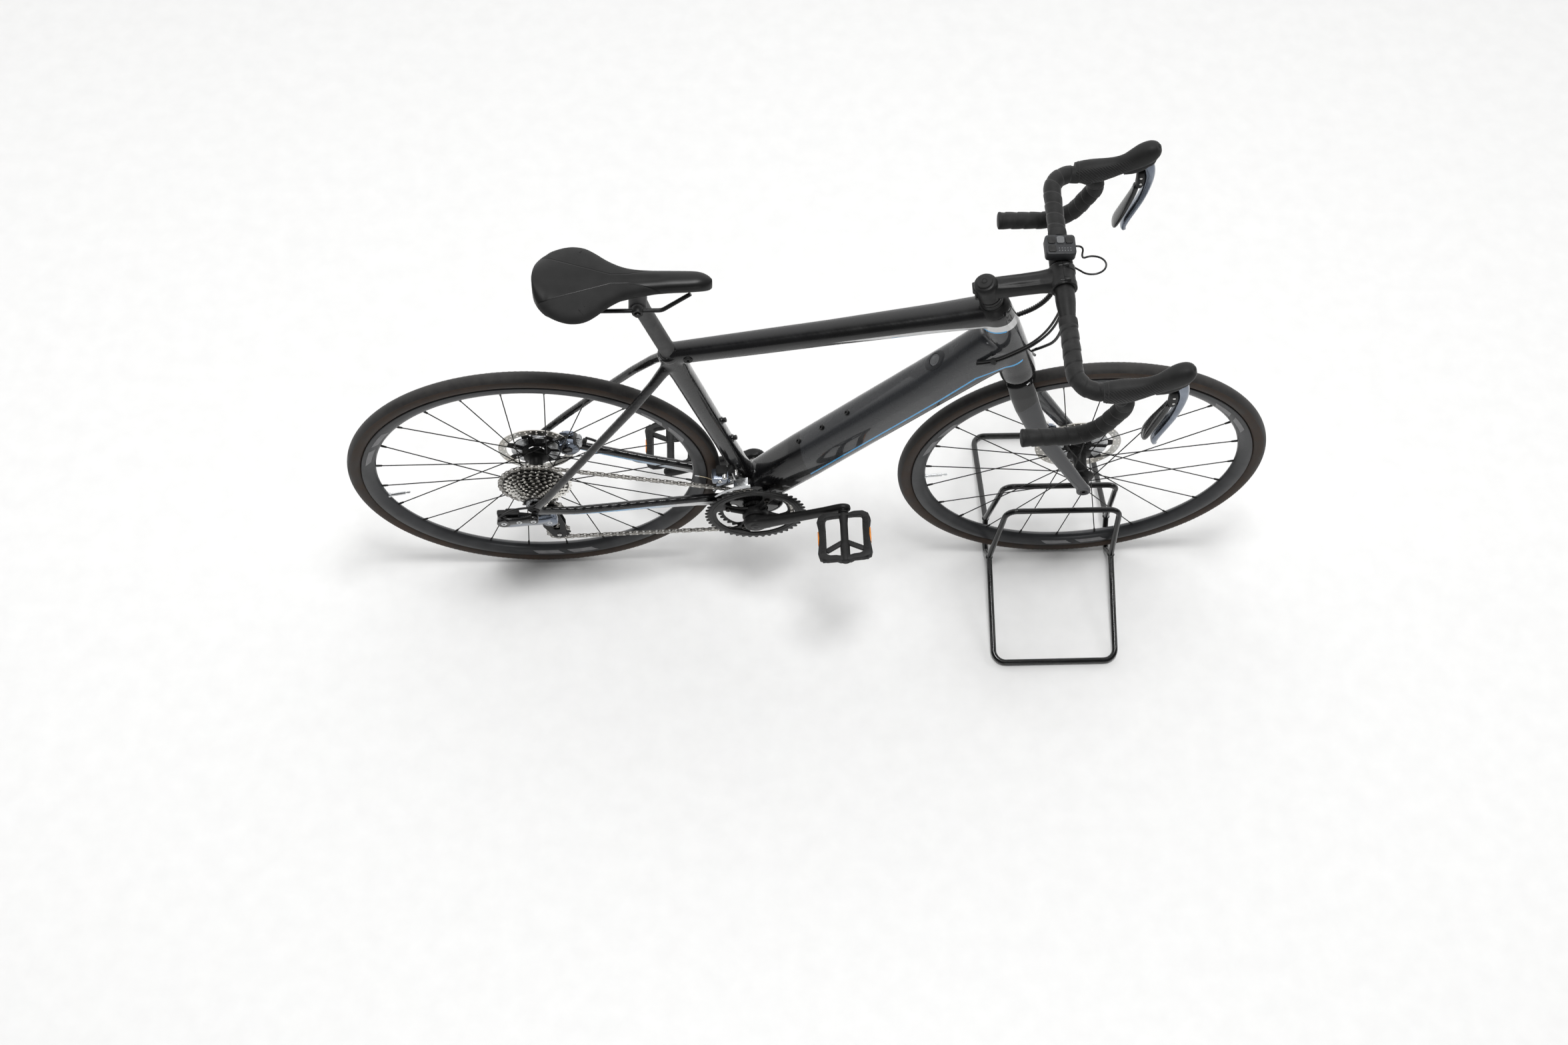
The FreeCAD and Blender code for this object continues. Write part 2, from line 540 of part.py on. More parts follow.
def make_frame():
    """A moulded frame, split into its tubes; each ends where its neighbour begins."""
    wall = size("frame_wall")
    length = size("head_length")
    head = Part.makeCone(size("head_outer") + 2, size("head_outer"), length, CROWN + STEER * 0.3, STEER)
    bore = Part.makeCylinder(size("head_bore"), length + 10, on_steerer(-1), STEER)
    drum_low, drum_high = -size("housing_half"), size("housing_half")
    drum_centre = BRACKET + Vector(8, 0, 8)
    drum = disc(size("housing_radius"), drum_low, drum_high, drum_centre)
    spindle_bore = disc(size("spindle_radius") + size("running_gap"), -80, 80, BRACKET)

    seat_top = BRACKET + SEAT * size("seat_tube_length")
    seat_stations = [(BRACKET + SEAT * 30, 22, 24, SEAT), (BRACKET + SEAT * 110, 20, 17.5, SEAT),
                     (BRACKET + SEAT * 200, 18, 17, SEAT), (BRACKET + SEAT * 300, 18, 18, SEAT),
                     (seat_top, 18.5, 21, SEAT)]
    seat_outer = Part.makeLoft([oval(*s) for s in seat_stations], True, False)
    seat_bore = Part.makeCylinder(size("post_radius") + size("running_gap"), 600,
                                  BRACKET + SEAT * 60, SEAT)

    top_rear, top_front = spot(262, 0, 739.5), spot(772, 0, 851)
    run = (top_front - top_rear).normalize()
    top_stations = [(top_rear, 17, 18, run), (top_rear + run * 260, 19, 19, run),
                    (top_front, 22, 21, run)]
    top_outer, top_shell = hollow_loft(top_stations, wall)

    down_low, down_high = spot(415, 0, 297), spot(804, 0, 760)
    run = (down_high - down_low).normalize()
    down_stations = [(down_low, 35, 38, run), (down_low + run * 120, 35, 42, run),
                     (down_low + run * 440, 34, 42, run), (down_high, 28, 46, run)]
    down_outer, down_shell = hollow_loft(down_stations, wall)
    head_column = Part.makeCylinder(size("head_outer") + 2, 400, on_steerer(-50), STEER)
    post_column = Part.makeCylinder(19, 700, BRACKET, SEAT)

    shaped("head_tube", head.cut(bore))
    top = top_shell.cut(head_column).cut(seat_outer).cut(post_column)
    shaped("top_tube", biggest(top))
    across = Vector(-run.z, 0, run.x)
    key = down_low + run * 496 + across * 39.8
    key_hole = Part.makeCylinder(11.4, 12, key - across * 2, across)
    down = down_shell.cut(head_column).cut(drum).cut(top_outer).cut(seat_outer).cut(key_hole)
    shaped("down_tube", biggest(down))
    seat_tube = seat_outer.cut(seat_bore).cut(drum)
    shaped("seat_tube", biggest(seat_tube))
    shaped("motor_housing", drum.cut(spindle_bore))

    pack_start = down_low + run * 80
    pack = Part.makeCylinder(27, 290, pack_start, run)
    shaped("battery_pack", pack)

    eye_half = size("rear_over_locknuts") / 2
    axle_hole = disc(size("axle_radius"), -90, 90, REAR_AXLE)
    stays = {"seat_stays": [], "chain_stays": []}
    for side in BOTH_SIDES:
        y = side * (eye_half + 4)
        eye = disc(14, y - 3.9, y + 3.9, REAR_AXLE)
        lean = Vector(0.55, 0, 0.83)
        upper = [(spot(8, y, 351), 4, 9, lean), (spot(60, side * 68, 430), 6, 8, lean),
                 (spot(190, side * 38, 628), 6.5, 8, lean), (spot(246, side * 15, 708), 8, 9, lean)]
        stay = Part.makeLoft([oval(*s) for s in upper], True, False).cut(seat_outer).cut(eye)
        stays["seat_stays"].append(biggest(stay))
        lower = [(spot(6, y, 330), 4, 12, X_AXIS), (spot(110, side * 64, 313), 7, 12, X_AXIS),
                 (spot(300, side * 32, 285), 7.5, 15, X_AXIS), (spot(380, side * 26, 272), 8, 16, X_AXIS)]
        stay = Part.makeLoft([oval(*s) for s in lower], True, False).fuse(eye)
        stay = stay.cut(drum).cut(axle_hole).cut(seat_outer)
        stays["chain_stays"].append(biggest(stay))
    for label, pieces in stays.items():
        shaped(label, *pieces)

    bolts = []
    for ahead, up in ((557, 540), (515, 490), (475, 443)):
        on_face = spot(ahead, 0, up)
        offset = (down_low - on_face).dot(across)
        bolts.append(Part.makeCylinder(4, 5, on_face + across * (offset + 40), across))
    for up in (512, 450):
        along = (up - BRACKET.z) / SEAT.z
        bolts.append(Part.makeCylinder(4, 4.5, BRACKET + SEAT * along + STEER_FRONT * 22, STEER_FRONT))
    for item in (down_outer, seat_outer):
        bolts = [b.cut(item) for b in bolts]
    shaped("frame_bolts", *bolts)
    shaped("power_button", Part.makeCylinder(11, 5.5, key, across))


def make_seat():
    """A round post with a yoke on its head, two rails and the saddle's shell."""
    low = BRACKET + SEAT * (size("seat_tube_length") - size("post_insert"))
    length = size("post_length") - 80
    post = Part.makeCylinder(size("post_radius"), length, low, SEAT)
    core = Part.makeCylinder(size("post_radius") - size("post_wall"), length - 12, low, SEAT)
    head = low + SEAT * (length + 4)
    yoke = disc(15, -16, 16, head)
    bolt = disc(7, -30, 30, head + SEAT * 3 + Vector(0, 0, 4))
    solid = post.cut(core).multiFuse([yoke, bolt])
    under = size("saddle_top") - size("saddle_thick")
    rail_up = head.z + 8
    rails = []
    for side in BOTH_SIDES:
        route = [spot(84, side * 33, under - 2), spot(124, side * 22, rail_up),
                 spot(246, side * 22, rail_up), spot(292, side * 10, under - 0.5)]
        rails.append(bent_rod(route, (18, 18), size("rail_radius")))
    for rail in rails:
        solid = solid.cut(rail)
    shaped("seatpost", solid)
    shaped("saddle_rails", *rails)
    outline = [(46, 0), (48, 22), (66, 50), (92, 68), (116, 70), (145, 60), (180, 38),
               (215, 24), (260, 19), (300, 17), (320, 12), (327, 0)]
    left = [spot(ahead, side, under) for ahead, side in outline]
    right = [spot(ahead, -side, under) for ahead, side in outline[-2:0:-1]]
    edge = Part.makePolygon(left + right + left[:1])
    body = Part.Face(edge).extrude(Vector(0, 0, size("saddle_thick")))
    shaped("saddle", body)


# ---- the drive ----

def make_cranks():
    turn = math.radians(size("crank_turn"))
    reach = Vector(math.cos(turn), 0, math.sin(turn)) * size("crank_length")
    spindle = disc(size("spindle_radius"), -66, 62, BRACKET)
    for label, side in (("right", -1), ("left", 1)):
        root = BRACKET + Y_AXIS * side * 72
        eye = BRACKET + reach * -side + Y_AXIS * side * 80
        arm = bar_box(root, eye, 6, 13)
        boss = disc(20, min(side * 62, side * 80), max(side * 62, side * 80), BRACKET)
        end = disc(14, min(side * 74, side * 86), max(side * 74, side * 86), eye)
        hole = disc(7, min(side * 60, side * 90), max(side * 60, side * 90), eye)
        solid = arm.multiFuse([boss, end]).cut(hole)
        if label == "right":
            arms = []
            for i in range(4):
                tip = ahead_of(BRACKET, 84, 45 + 90 * i + size("crank_turn"))
                low, high = -size("ring_side") + 2.2, -size("ring_side") + 4.3
                side_shift = Y_AXIS * (low + high) / 2
                arms.append(bar_box(BRACKET + side_shift, tip + side_shift, (high - low) / 2, 8))
            arms.append(disc(24, -62, -46.9, BRACKET))
            solid = solid.multiFuse(arms + [spindle])
        else:
            solid = solid.cut(spindle)
        shaped("crank_" + label, solid)


def make_chainrings():
    side, inner = -size("ring_side"), size("inner_ring_radius")
    big = disc(size("outer_ring_radius"), side - 2, side + 2, BRACKET).cut(disc(78, -90, 0, BRACKET))
    small_side = -size("chain_side")
    small = disc(inner, small_side - 1, small_side + 1, BRACKET).cut(disc(45, -90, 0, BRACKET))
    posts = []
    for i in range(4):
        centre = ahead_of(BRACKET, 55, 45 + 90 * i + size("crank_turn"))
        posts.append(disc(5, small_side - 3.2, small_side + 1, centre))
    shaped("chainrings", big, small.multiFuse(posts))


def make_cassette():
    """Sprockets stepping down outwards from the wheel, on one splined core."""
    solid = disc(20, -66, -22.5, REAR_AXLE)
    half = size("cog_thick") / 2
    discs = [disc(size("cog_pitch_radius") - 4.6, -size("cog_side") - half,
                  -size("cog_side") + half, REAR_AXLE)]
    for i, teeth in enumerate(COG_TEETH, start=1):
        middle = -size("cog_side") - i * size("cog_step")
        radius = teeth * 12.7 / (2 * math.pi) + 2
        discs.append(disc(radius, middle - half, middle + half, REAR_AXLE))
    bore = disc(size("axle_radius") + size("running_gap"), -90, 0, REAR_AXLE)
    shaped("cassette", solid.multiFuse(discs).cut(bore))


GUIDE = (20, 249)
TENSION = (30, 152)


def pulley_centre(place):
    return spot(place[0], -size("cog_side") - 1, place[1])


def run_between(first, first_radius, second, second_radius, above):
    """The straight chain run that touches two round parts on the same side."""
    line = second - first
    flat = math.hypot(line.x, line.z)
    lean = math.atan2(line.z, line.x) + above * math.asin((second_radius - first_radius) / flat)
    across = Vector(-math.sin(lean), 0, math.cos(lean)) * above
    return first + across * first_radius, second + across * second_radius


def chain_bar(start, end, stretch=1.0):
    """A straight stretch of chain as a rectangular bar."""
    along = (end - start).normalize() * stretch
    return bar_box(start - along, end + along, size("chain_half_width"), size("chain_half_height"))


def chain_bend(centre, pitch, start, end):
    """Chain wrapped round a wheel, from one degree mark to another."""
    tall, wide = size("chain_half_height"), size("chain_half_width")
    low = Vector(pitch - tall, -wide, 0)
    face = Part.Face(Part.makePolygon([low, low + Vector(2 * tall, 0, 0),
                                       low + Vector(2 * tall, 2 * wide, 0),
                                       low + Vector(0, 2 * wide, 0), low]))
    bend = face.revolve(Vector(), Vector(0, -1, 0), end - start)
    bend.Placement = Placement(centre, Rotation(Vector(0, -1, 0), start))
    return bend


def degrees_of(centre, point):
    return math.degrees(math.atan2(point.z - centre.z, point.x - centre.x))


def make_chain():
    """The closed chain: over the inner ring and the largest sprocket, through the cage."""
    ring = BRACKET - Y_AXIS * size("chain_side")
    cog = REAR_AXLE - Y_AXIS * size("cog_side")
    guide, tension = pulley_centre(GUIDE), pulley_centre(TENSION)
    ring_pitch, cog_pitch = size("ring_pitch_radius"), size("cog_pitch_radius")
    pulley_pitch = size("pulley_radius") + size("chain_half_height") + size("clear_gap")
    top_rear, top_front = run_between(cog, cog_pitch, ring, ring_pitch, 1)
    low_rear, low_front = run_between(tension, pulley_pitch, ring, ring_pitch, -1)
    cog_off, guide_on = cross_run(cog, cog_pitch, guide, pulley_pitch, 1)
    guide_off, tension_on = cross_run(guide, pulley_pitch, tension, pulley_pitch, -1)
    pieces = [chain_bar(top_rear, top_front), chain_bar(low_rear, low_front),
              chain_bar(cog_off, guide_on), chain_bar(guide_off, tension_on)]
    bends = ((ring, ring_pitch, low_front, top_front), (cog, cog_pitch, top_rear, cog_off),
             (guide, pulley_pitch, guide_off, guide_on), (tension, pulley_pitch, tension_on, low_rear))
    for centre, pitch, start, end in bends:
        first, last = degrees_of(centre, start), degrees_of(centre, end)
        while last < first:
            last += 360
        pieces.append(chain_bend(centre, pitch, first - 1, last + 1))
    shaped("chain", pieces[0].multiFuse(pieces[1:]))


def cross_run(first, first_radius, second, second_radius, turn):
    """The straight chain run that crosses between two round parts."""
    line = second - first
    flat = math.hypot(line.x, line.z)
    lean = math.acos((first_radius + second_radius) / flat)
    heading = math.atan2(line.z, line.x) + turn * lean
    across = Vector(math.cos(heading), 0, math.sin(heading))
    return first + across * first_radius, second - across * second_radius


def make_derailleurs():
    """The rear mechanism's links and cage, its two pulleys, and the front mechanism."""
    side = pulley_centre(GUIDE).y
    pivot = spot(GUIDE[0] + 4, 0, GUIDE[1])
    link = bar_box(spot(-4, -83, 318), spot(-58, -86, 312), 4, 9)
    hanger = disc(9, -90, -79.2, spot(-4, 0, 318))
    knuckle = disc(13, -90, -76, spot(-58, 0, 312))
    arm = bar_box(spot(-54, -80, 304), spot(14, -54, 262), 8, 11)
    lower = disc(15, -60, -46, spot(20, 0, 256))
    shaped("rear_derailleur", link.multiFuse([hanger, knuckle, arm, lower]))
    plates = []
    half = size("pulley_half")
    for low, high in ((side + half + 1, side + half + 3), (side - half - 3, side - half - 1)):
        plate = bar_box(Vector(pivot.x, 0, pivot.z), spot(TENSION[0], 0, TENSION[1]), 1, 9)
        plate.translate(Vector(0, (low + high) / 2, 0))
        ends = [disc(11, low, high, spot(x, 0, z)) for x, z in (GUIDE, TENSION)]
        plates.append(plate.multiFuse(ends))
    boss = disc(12, -45.5, side - half - 1, spot(20, 0, 256))
    pins = [disc(3, side - half - 3, side + half + 3, spot(x, 0, z)) for x, z in (GUIDE, TENSION)]
    shaped("derailleur_cage", plates[0].multiFuse(plates[1:] + [boss] + pins))
    for label, (x, z) in (("guide_pulley", GUIDE), ("tension_pulley", TENSION)):
        wheel = rod(label + "_wheel", "Sizes.pulley_radius", "2 * Sizes.pulley_half",
                    spot(x, side - half, z))
        bore = rod(label + "_bore", "3 + Sizes.running_gap", "2 * Sizes.pulley_half",
                   spot(x, side - half, z))
        keep(cut(label, wheel, bore), label)
    inner = block(spot(306, -36.6, 332), spot(376, -35.4, 366))
    outer = block(spot(306, -49.6, 339), spot(362, -48.4, 369))
    bridge = block(spot(316, -49.6, 364), spot(352, -35.4, 366))
    body = block(spot(322, -36, 352), spot(350, -24, 384))
    clear = disc(size("outer_ring_radius") + 1, -60, -47.6, BRACKET)
    seat = Part.makeCylinder(25, 500, BRACKET, SEAT)
    shape = inner.multiFuse([outer, bridge, body]).cut(clear).cut(seat)
    shaped("front_derailleur", biggest(shape))


def make_pedals():
    """Flat platforms with two windows, each turning on its own spindle."""
    turn = math.radians(size("crank_turn"))
    reach = Vector(math.cos(turn), 0, math.sin(turn)) * size("crank_length")
    tilt = math.radians(size("pedal_tilt"))
    forward = Vector(math.cos(tilt), 0, math.sin(tilt))
    long, tall = size("pedal_length") / 2, size("pedal_thick") / 2
    for label, side in (("right", -1), ("left", 1)):
        eye = BRACKET + reach * -side
        near, far = 90, 90 + size("pedal_width")
        middle = eye + Y_AXIS * side * (near + far) / 2
        plate = bar_box(middle - forward * long, middle + forward * long, (far - near) / 2, tall)
        for place in BOTH_SIDES:
            centre = middle + forward * place * long * 0.5
            window = bar_box(centre - forward * 15, centre + forward * 15, 34, tall + 5)
            plate = plate.cut(window)
        spindle_low, spindle_high = sorted((side * 80, side * near))
        stub = disc(7 - size("running_gap"), spindle_low, spindle_high, eye)
        shaped("pedal_" + label, plate.fuse(stub))


def outside(shape, neighbours):
    """What is left of a shape outside its neighbours."""
    for neighbour in neighbours:
        shape = shape.cut(neighbour)
    return biggest(shape)


def make_cables():
    """Hoses and gear cables along their real routes, held at both ends."""
    hose, cable = size("hose_radius"), size("cable_radius")
    front = [spot(880, -52, 919), spot(886, -46, 870), spot(884, -34, 810), spot(874, -14, 764),
             spot(864, 6, 722), spot(866, 24, 688), spot(878, 33, 664)]
    loop_centre = spot(928, 22, 944)
    loop = [spot(899, 46, 962), spot(914, 44, 968)]
    loop += [loop_centre + Vector(23 * math.cos(a), 23 * math.sin(a), 8 * math.cos(a + 1))
             for a in [math.radians(130 - 42 * i) for i in range(8)]]
    loop += [spot(902, 23, 936)]
    shaped("fork_cables", bent_rod(front, easy_radii(front), hose),
           bent_rod(loop, easy_radii(loop), size("remote_wire_radius")))
    crossing = []
    for shift, radius in ((0, cable), (7, cable)):
        route = [spot(877 - shift / 2, -46, 920), spot(876 - shift, -45, 876),
                 spot(854 - shift, -44, 824), spot(822 - shift, -40, 782 + shift / 2),
                 spot(788, -37, 752 + shift), spot(764, -30, 738 + shift)]
        crossing.append(bent_rod(route, easy_radii(route), radius))
    route = [spot(876, 31, 918), spot(882, 26, 872), spot(862, 28, 820), spot(826, 37, 778),
             spot(788, 40, 754), spot(764, 30, 740)]
    crossing.append(bent_rod(route, easy_radii(route), size("bundle_radius")))
    frame_solids = [doc.getObject(n).Shape for n in ("head_tube", "down_tube")]
    crossing = [outside(piece, frame_solids) for piece in crossing]
    shaped("steering_cables", *crossing)
    rear = [spot(-2, -79, 352), spot(-26, -84, 360), spot(-50, -84, 346), spot(-64, -83, 326)]
    brake = [spot(120, 72, 316), spot(104, 74, 330), spot(92, 66, 350)]
    shaped("rear_cables", bent_rod(rear, easy_radii(rear), cable),
           bent_rod(brake, easy_radii(brake), hose))


def main():
    make_stand()
    make_front_wheel()
    make_rear_wheel()
    make_axles()
    make_fork()
    make_headset()
    make_stem()
    make_bar()
    make_hoods_and_levers()
    make_remote()
    make_caliper("front_caliper", FRONT_AXLE, size("front_rotor_radius"),
                 size("front_rotor_side"), 150, ["fork"])
    make_frame()
    make_caliper("rear_caliper", REAR_AXLE, size("rear_rotor_radius"),
                 size("rear_rotor_side"), 20, ["chain_stays", "seat_stays"])
    make_seat()
    make_cranks()
    make_chainrings()
    make_cassette()
    make_chain()
    make_derailleurs()
    make_pedals()
    make_cables()
    doc.recompute()
    for item in doc.Objects:
        if "Invalid" in item.State or "Error" in item.State:
            raise RuntimeError("%s did not build: %s" % (item.Label, item.State))
    os.makedirs("parts", exist_ok=True)
    for item in nodes:
        if item.Shape.isNull() or not item.Shape.isValid():
            raise RuntimeError("%s has no valid shape" % item.Label)
    for item in nodes:
        item.Shape.exportStep("parts/%s.step" % item.Label)
    print("%d sub-parts written" % len(nodes))


main()
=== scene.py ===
import json
import math
import bpy
import bmesh
from mathutils import Matrix, Vector

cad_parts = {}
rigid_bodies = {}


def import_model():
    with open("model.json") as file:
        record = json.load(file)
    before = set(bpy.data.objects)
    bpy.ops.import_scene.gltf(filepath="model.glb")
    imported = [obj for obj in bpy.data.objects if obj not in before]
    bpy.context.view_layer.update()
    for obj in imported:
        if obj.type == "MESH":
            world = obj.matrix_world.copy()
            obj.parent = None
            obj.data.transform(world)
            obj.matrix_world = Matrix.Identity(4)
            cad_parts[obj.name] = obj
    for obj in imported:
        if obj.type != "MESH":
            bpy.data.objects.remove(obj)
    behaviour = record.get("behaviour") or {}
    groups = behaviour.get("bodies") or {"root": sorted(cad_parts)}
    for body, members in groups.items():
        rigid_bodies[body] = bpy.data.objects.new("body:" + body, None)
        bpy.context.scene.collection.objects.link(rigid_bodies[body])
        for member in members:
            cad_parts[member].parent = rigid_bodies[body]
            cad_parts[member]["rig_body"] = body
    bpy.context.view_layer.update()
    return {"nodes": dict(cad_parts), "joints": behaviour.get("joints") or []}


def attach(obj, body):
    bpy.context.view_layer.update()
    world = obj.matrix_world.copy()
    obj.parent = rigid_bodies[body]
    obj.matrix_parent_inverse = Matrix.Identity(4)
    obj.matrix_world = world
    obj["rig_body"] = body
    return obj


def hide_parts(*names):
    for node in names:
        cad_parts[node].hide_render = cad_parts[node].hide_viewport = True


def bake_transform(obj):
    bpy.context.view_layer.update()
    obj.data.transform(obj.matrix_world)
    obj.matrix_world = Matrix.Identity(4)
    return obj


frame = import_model()

# Looks of a road bicycle in a bent-tube floor stand. Places are written in millimetres:
# ahead of the rear axle, to the left of the middle plane, and above the floor.
MM = 0.001
AXLE_TO_ORIGIN = 503
X_AXIS = Vector((1, 0, 0))
Y_AXIS = Vector((0, 1, 0))
Z_AXIS = Vector((0, 0, 1))
BOTH_SIDES = (-1, 1)
SIDE_NAMES = {-1: "right", 1: "left"}
BOTH_ENDS, FIRST_END = ("start", "end"), ("start",)
NODES = frame["nodes"]
JOINTS = {joint["name"]: joint for joint in frame["joints"]}


def spot(ahead, side, up):
    return Vector((ahead - AXLE_TO_ORIGIN, side, up)) * MM


def joint_place(name):
    return Vector(JOINTS[name]["pos_m"])


FRONT_AXLE = joint_place("front_wheel_spin")
REAR_AXLE = joint_place("rear_wheel_spin")
BRACKET = joint_place("crank_spin")
CROWN = joint_place("steering")
STEER = Vector(JOINTS["steering"]["axis"]).normalized()
STEER_FRONT = Vector((STEER.z, 0, -STEER.x))
SEAT = Vector(JOINTS["saddle_height"]["axis"]).normalized()


# ---- mesh tools ----

class Form:
    """Points and faces of one piece, with a material number and UVs for each face."""

    def __init__(self):
        self.points = []
        self.faces = []
        self.marks = []
        self.corners = []

    def add_face(self, indices, mark=0, corners=None):
        self.faces.append(indices)
        self.marks.append(mark)
        self.corners.append(corners or [(0, 0)] * len(indices))

    def rows(self, rows, closed=True, mark=0, caps=(), lengthwise=None, loop=False):
        """A skin over rows of points. Marks may be one number, or one for each gap."""
        start, count = len(self.points), len(rows[0])
        for row in rows:
            self.points.extend(row)
        along = [0.0]
        for first, second in zip(rows, rows[1:] + rows[:1]):
            along.append(along[-1] + (second[0] - first[0]).length)
        if lengthwise:
            along = list(lengthwise) + [lengthwise[-1]]
        gaps = len(rows) if loop else len(rows) - 1
        for i in range(gaps):
            number = mark[i] if isinstance(mark, (list, tuple)) else mark
            low, high = start + i * count, start + ((i + 1) % len(rows)) * count
            for j in range(count if closed else count - 1):
                k = (j + 1) % count
                u, v = j / count, (j + 1) / count
                self.add_face((low + j, low + k, high + k, high + j), number,
                              [(u, along[i]), (v, along[i]), (v, along[i + 1]), (u, along[i + 1])])
        first_mark = mark[0] if isinstance(mark, (list, tuple)) else mark
        last_mark = mark[-1] if isinstance(mark, (list, tuple)) else mark
        if "start" in caps:
            self.add_face(tuple(range(start + count - 1, start - 1, -1)), first_mark)
        if "end" in caps:
            end = start + (len(rows) - 1) * count
            self.add_face(tuple(range(end, end + count)), last_mark)
        return self

    def lathe(self, centre, profile, segments=96, mark=0, axis=Y_AXIS, caps=(), loop=False):
        """Turns (radius, along) corners in millimetres about an axis through the centre."""
        side, up = frame_of(axis)
        rows = []
        for radius, along in profile:
            rows.append([centre + axis * along * MM +
                         (side * math.cos(turn) + up * math.sin(turn)) * radius * MM
                         for turn in turns(segments)])
        return self.rows(rows, mark=mark, caps=caps, loop=loop)

    def tube(self, line, radius, sides=12, mark=0, caps=BOTH_ENDS, loop=False):
        """A round tube along a line of points; the radius, in millimetres, may be a list."""
        rows = []
        for i, (place, side, up) in enumerate(carried(line, loop)):
            size = (radius[i] if isinstance(radius, list) else radius) * MM
            rows.append([place + (side * math.cos(turn) + up * math.sin(turn)) * size
                         for turn in turns(sides)])
        return self.rows(rows, mark=mark, caps=() if loop else caps, loop=loop)

    def prism(self, outline, low, high, axis=Y_AXIS, mark=0):
        """An outline pushed along an axis; low and high are in millimetres."""
        rows = [[p + axis * low * MM for p in outline], [p + axis * high * MM for p in outline]]
        return self.rows(rows, mark=mark, caps=BOTH_ENDS)

    def plate(self, outline, hole, low, high, axis=Y_AXIS, mark=0):
        """A ring-shaped plate between two outlines with the same number of points."""
        rows = [[p + axis * low * MM for p in outline], [p + axis * high * MM for p in outline],
                [p + axis * high * MM for p in hole], [p + axis * low * MM for p in hole]]
        return self.rows(rows, mark=mark, loop=True)

    def bar(self, start, end, half_side, half_tall, mark=0, side=Y_AXIS):
        """A square-cut bar between two points."""
        up = (end - start).cross(side).normalized()
        ring = [side * half_side * MM * a + up * half_tall * MM * b
                for a, b in ((-1, -1), (1, -1), (1, 1), (-1, 1))]
        return self.rows([[start + r for r in ring], [end + r for r in ring]], mark=mark,
                         caps=BOTH_ENDS)


def turns(count, start=0.0):
    return [start + 2 * math.pi * i / count for i in range(count)]


def frame_of(axis):
    """Two directions square to an axis; about Y they are forwards and up."""
    side = X_AXIS if abs(axis.x) < 0.9 else Z_AXIS
    side = (side - axis * side.dot(axis)).normalized()
    up = side.cross(axis) if abs(axis.y) > 0.9 else axis.cross(side)
    return side, up


def carried(line, loop=False):
    """Each point of a line with two directions square to it that don't twist."""
    found = []
    count = len(line)
    side = None
    for i, place in enumerate(line):
        before = line[(i - 1) % count] if loop else line[max(i - 1, 0)]
        after = line[(i + 1) % count] if loop else line[min(i + 1, count - 1)]
        heading = (after - before).normalized()
        if side is None:
            side = Y_AXIS if abs(heading.y) < 0.8 else Z_AXIS
        side = (side - heading * side.dot(heading)).normalized()
        found.append((place, side, heading.cross(side)))
    return found


def smooth_line(points, steps=8):
    """A Catmull-Rom line through points."""
    line = []
    ends = [points[0] * 2 - points[1]] + list(points) + [points[-1] * 2 - points[-2]]
    for a, b, c, d in zip(ends, ends[1:], ends[2:], ends[3:]):
        for step in range(steps):
            t = step / steps
            line.append((b * 2 + (c - a) * t + (a * 2 - b * 5 + c * 4 - d) * t * t +
                         (b * 3 - a - c * 3 + d) * t * t * t) / 2)
    line.append(points[-1].copy())
    return line


def bent_line(points, radii, step=2.0):
    """Straight runs joined by arcs, with even points a few millimetres apart."""
    line = [points[0]]
    for before, corner, after, radius in zip(points, points[1:], points[2:], radii):
        back, on = (before - corner).normalized(), (after - corner).normalized()
        half = back.angle(on) / 2
        reach = radius * MM / math.tan(half)
        hub = corner + (back + on).normalized() * radius * MM / math.sin(half)
        first, last = corner + back * reach - hub, corner + on * reach - hub
        sweep = first.angle(last)
        axis = first.cross(last).normalized()
        count = max(2, int(sweep * radius / step))
        line += [hub + Matrix.Rotation(sweep * i / count, 3, axis) @ first for i in range(count + 1)]
    line.append(points[-1])
    even = [line[0]]
    for first, second in zip(line, line[1:]):
        length = (second - first).length
        count = max(1, round(length / (step * MM)))
        even += [first.lerp(second, (i + 1) / count) for i in range(count)]
    return even


def oval(centre, across, tall, normal, power=2.0, count=32):
    """A rounded section: across is half its width along Y; power above 2 squares it up."""
    upright = normal.cross(Y_AXIS).normalized()
    ring = []
    for turn in turns(count):
        a, b = math.cos(turn), math.sin(turn)
        ring.append(centre + Y_AXIS * across * MM * math.copysign(abs(a) ** (2 / power), a) +
                    upright * tall * MM * math.copysign(abs(b) ** (2 / power), b))
    return ring


def about(centre, radius, degrees, side=0.0):
    """A point at a radius and an angle up from forwards, at a side, both in millimetres."""
    turn = math.radians(degrees)
    return Vector((centre.x + radius * MM * math.cos(turn), side * MM,
                   centre.z + radius * MM * math.sin(turn)))


def circle(centre, radius, count=48, side=0.0):
    return [about(centre, radius, 360 * i / count, side) for i in range(count)]


def rounded_box(form, low, high, radius, mark=0, steps=3):
    """A box between two corner points, with upright edges of a radius in millimetres."""
    corners = [(high.x, high.y, 0), (low.x, high.y, 90), (low.x, low.y, 180), (high.x, low.y, 270)]
    size = radius * MM
    ring = []
    for x, y, start in corners:
        cx = x - math.copysign(size, x - (low.x + high.x) / 2)
        cy = y - math.copysign(size, y - (low.y + high.y) / 2)
        for i in range(steps + 1):
            turn = math.radians(start + 90 * i / steps)
            ring.append((cx + size * math.cos(turn), cy + size * math.sin(turn)))
    rows = [[Vector((x, y, z)) for x, y in ring] for z in (low.z, high.z)]
    form.rows(rows, mark=mark, caps=BOTH_ENDS)


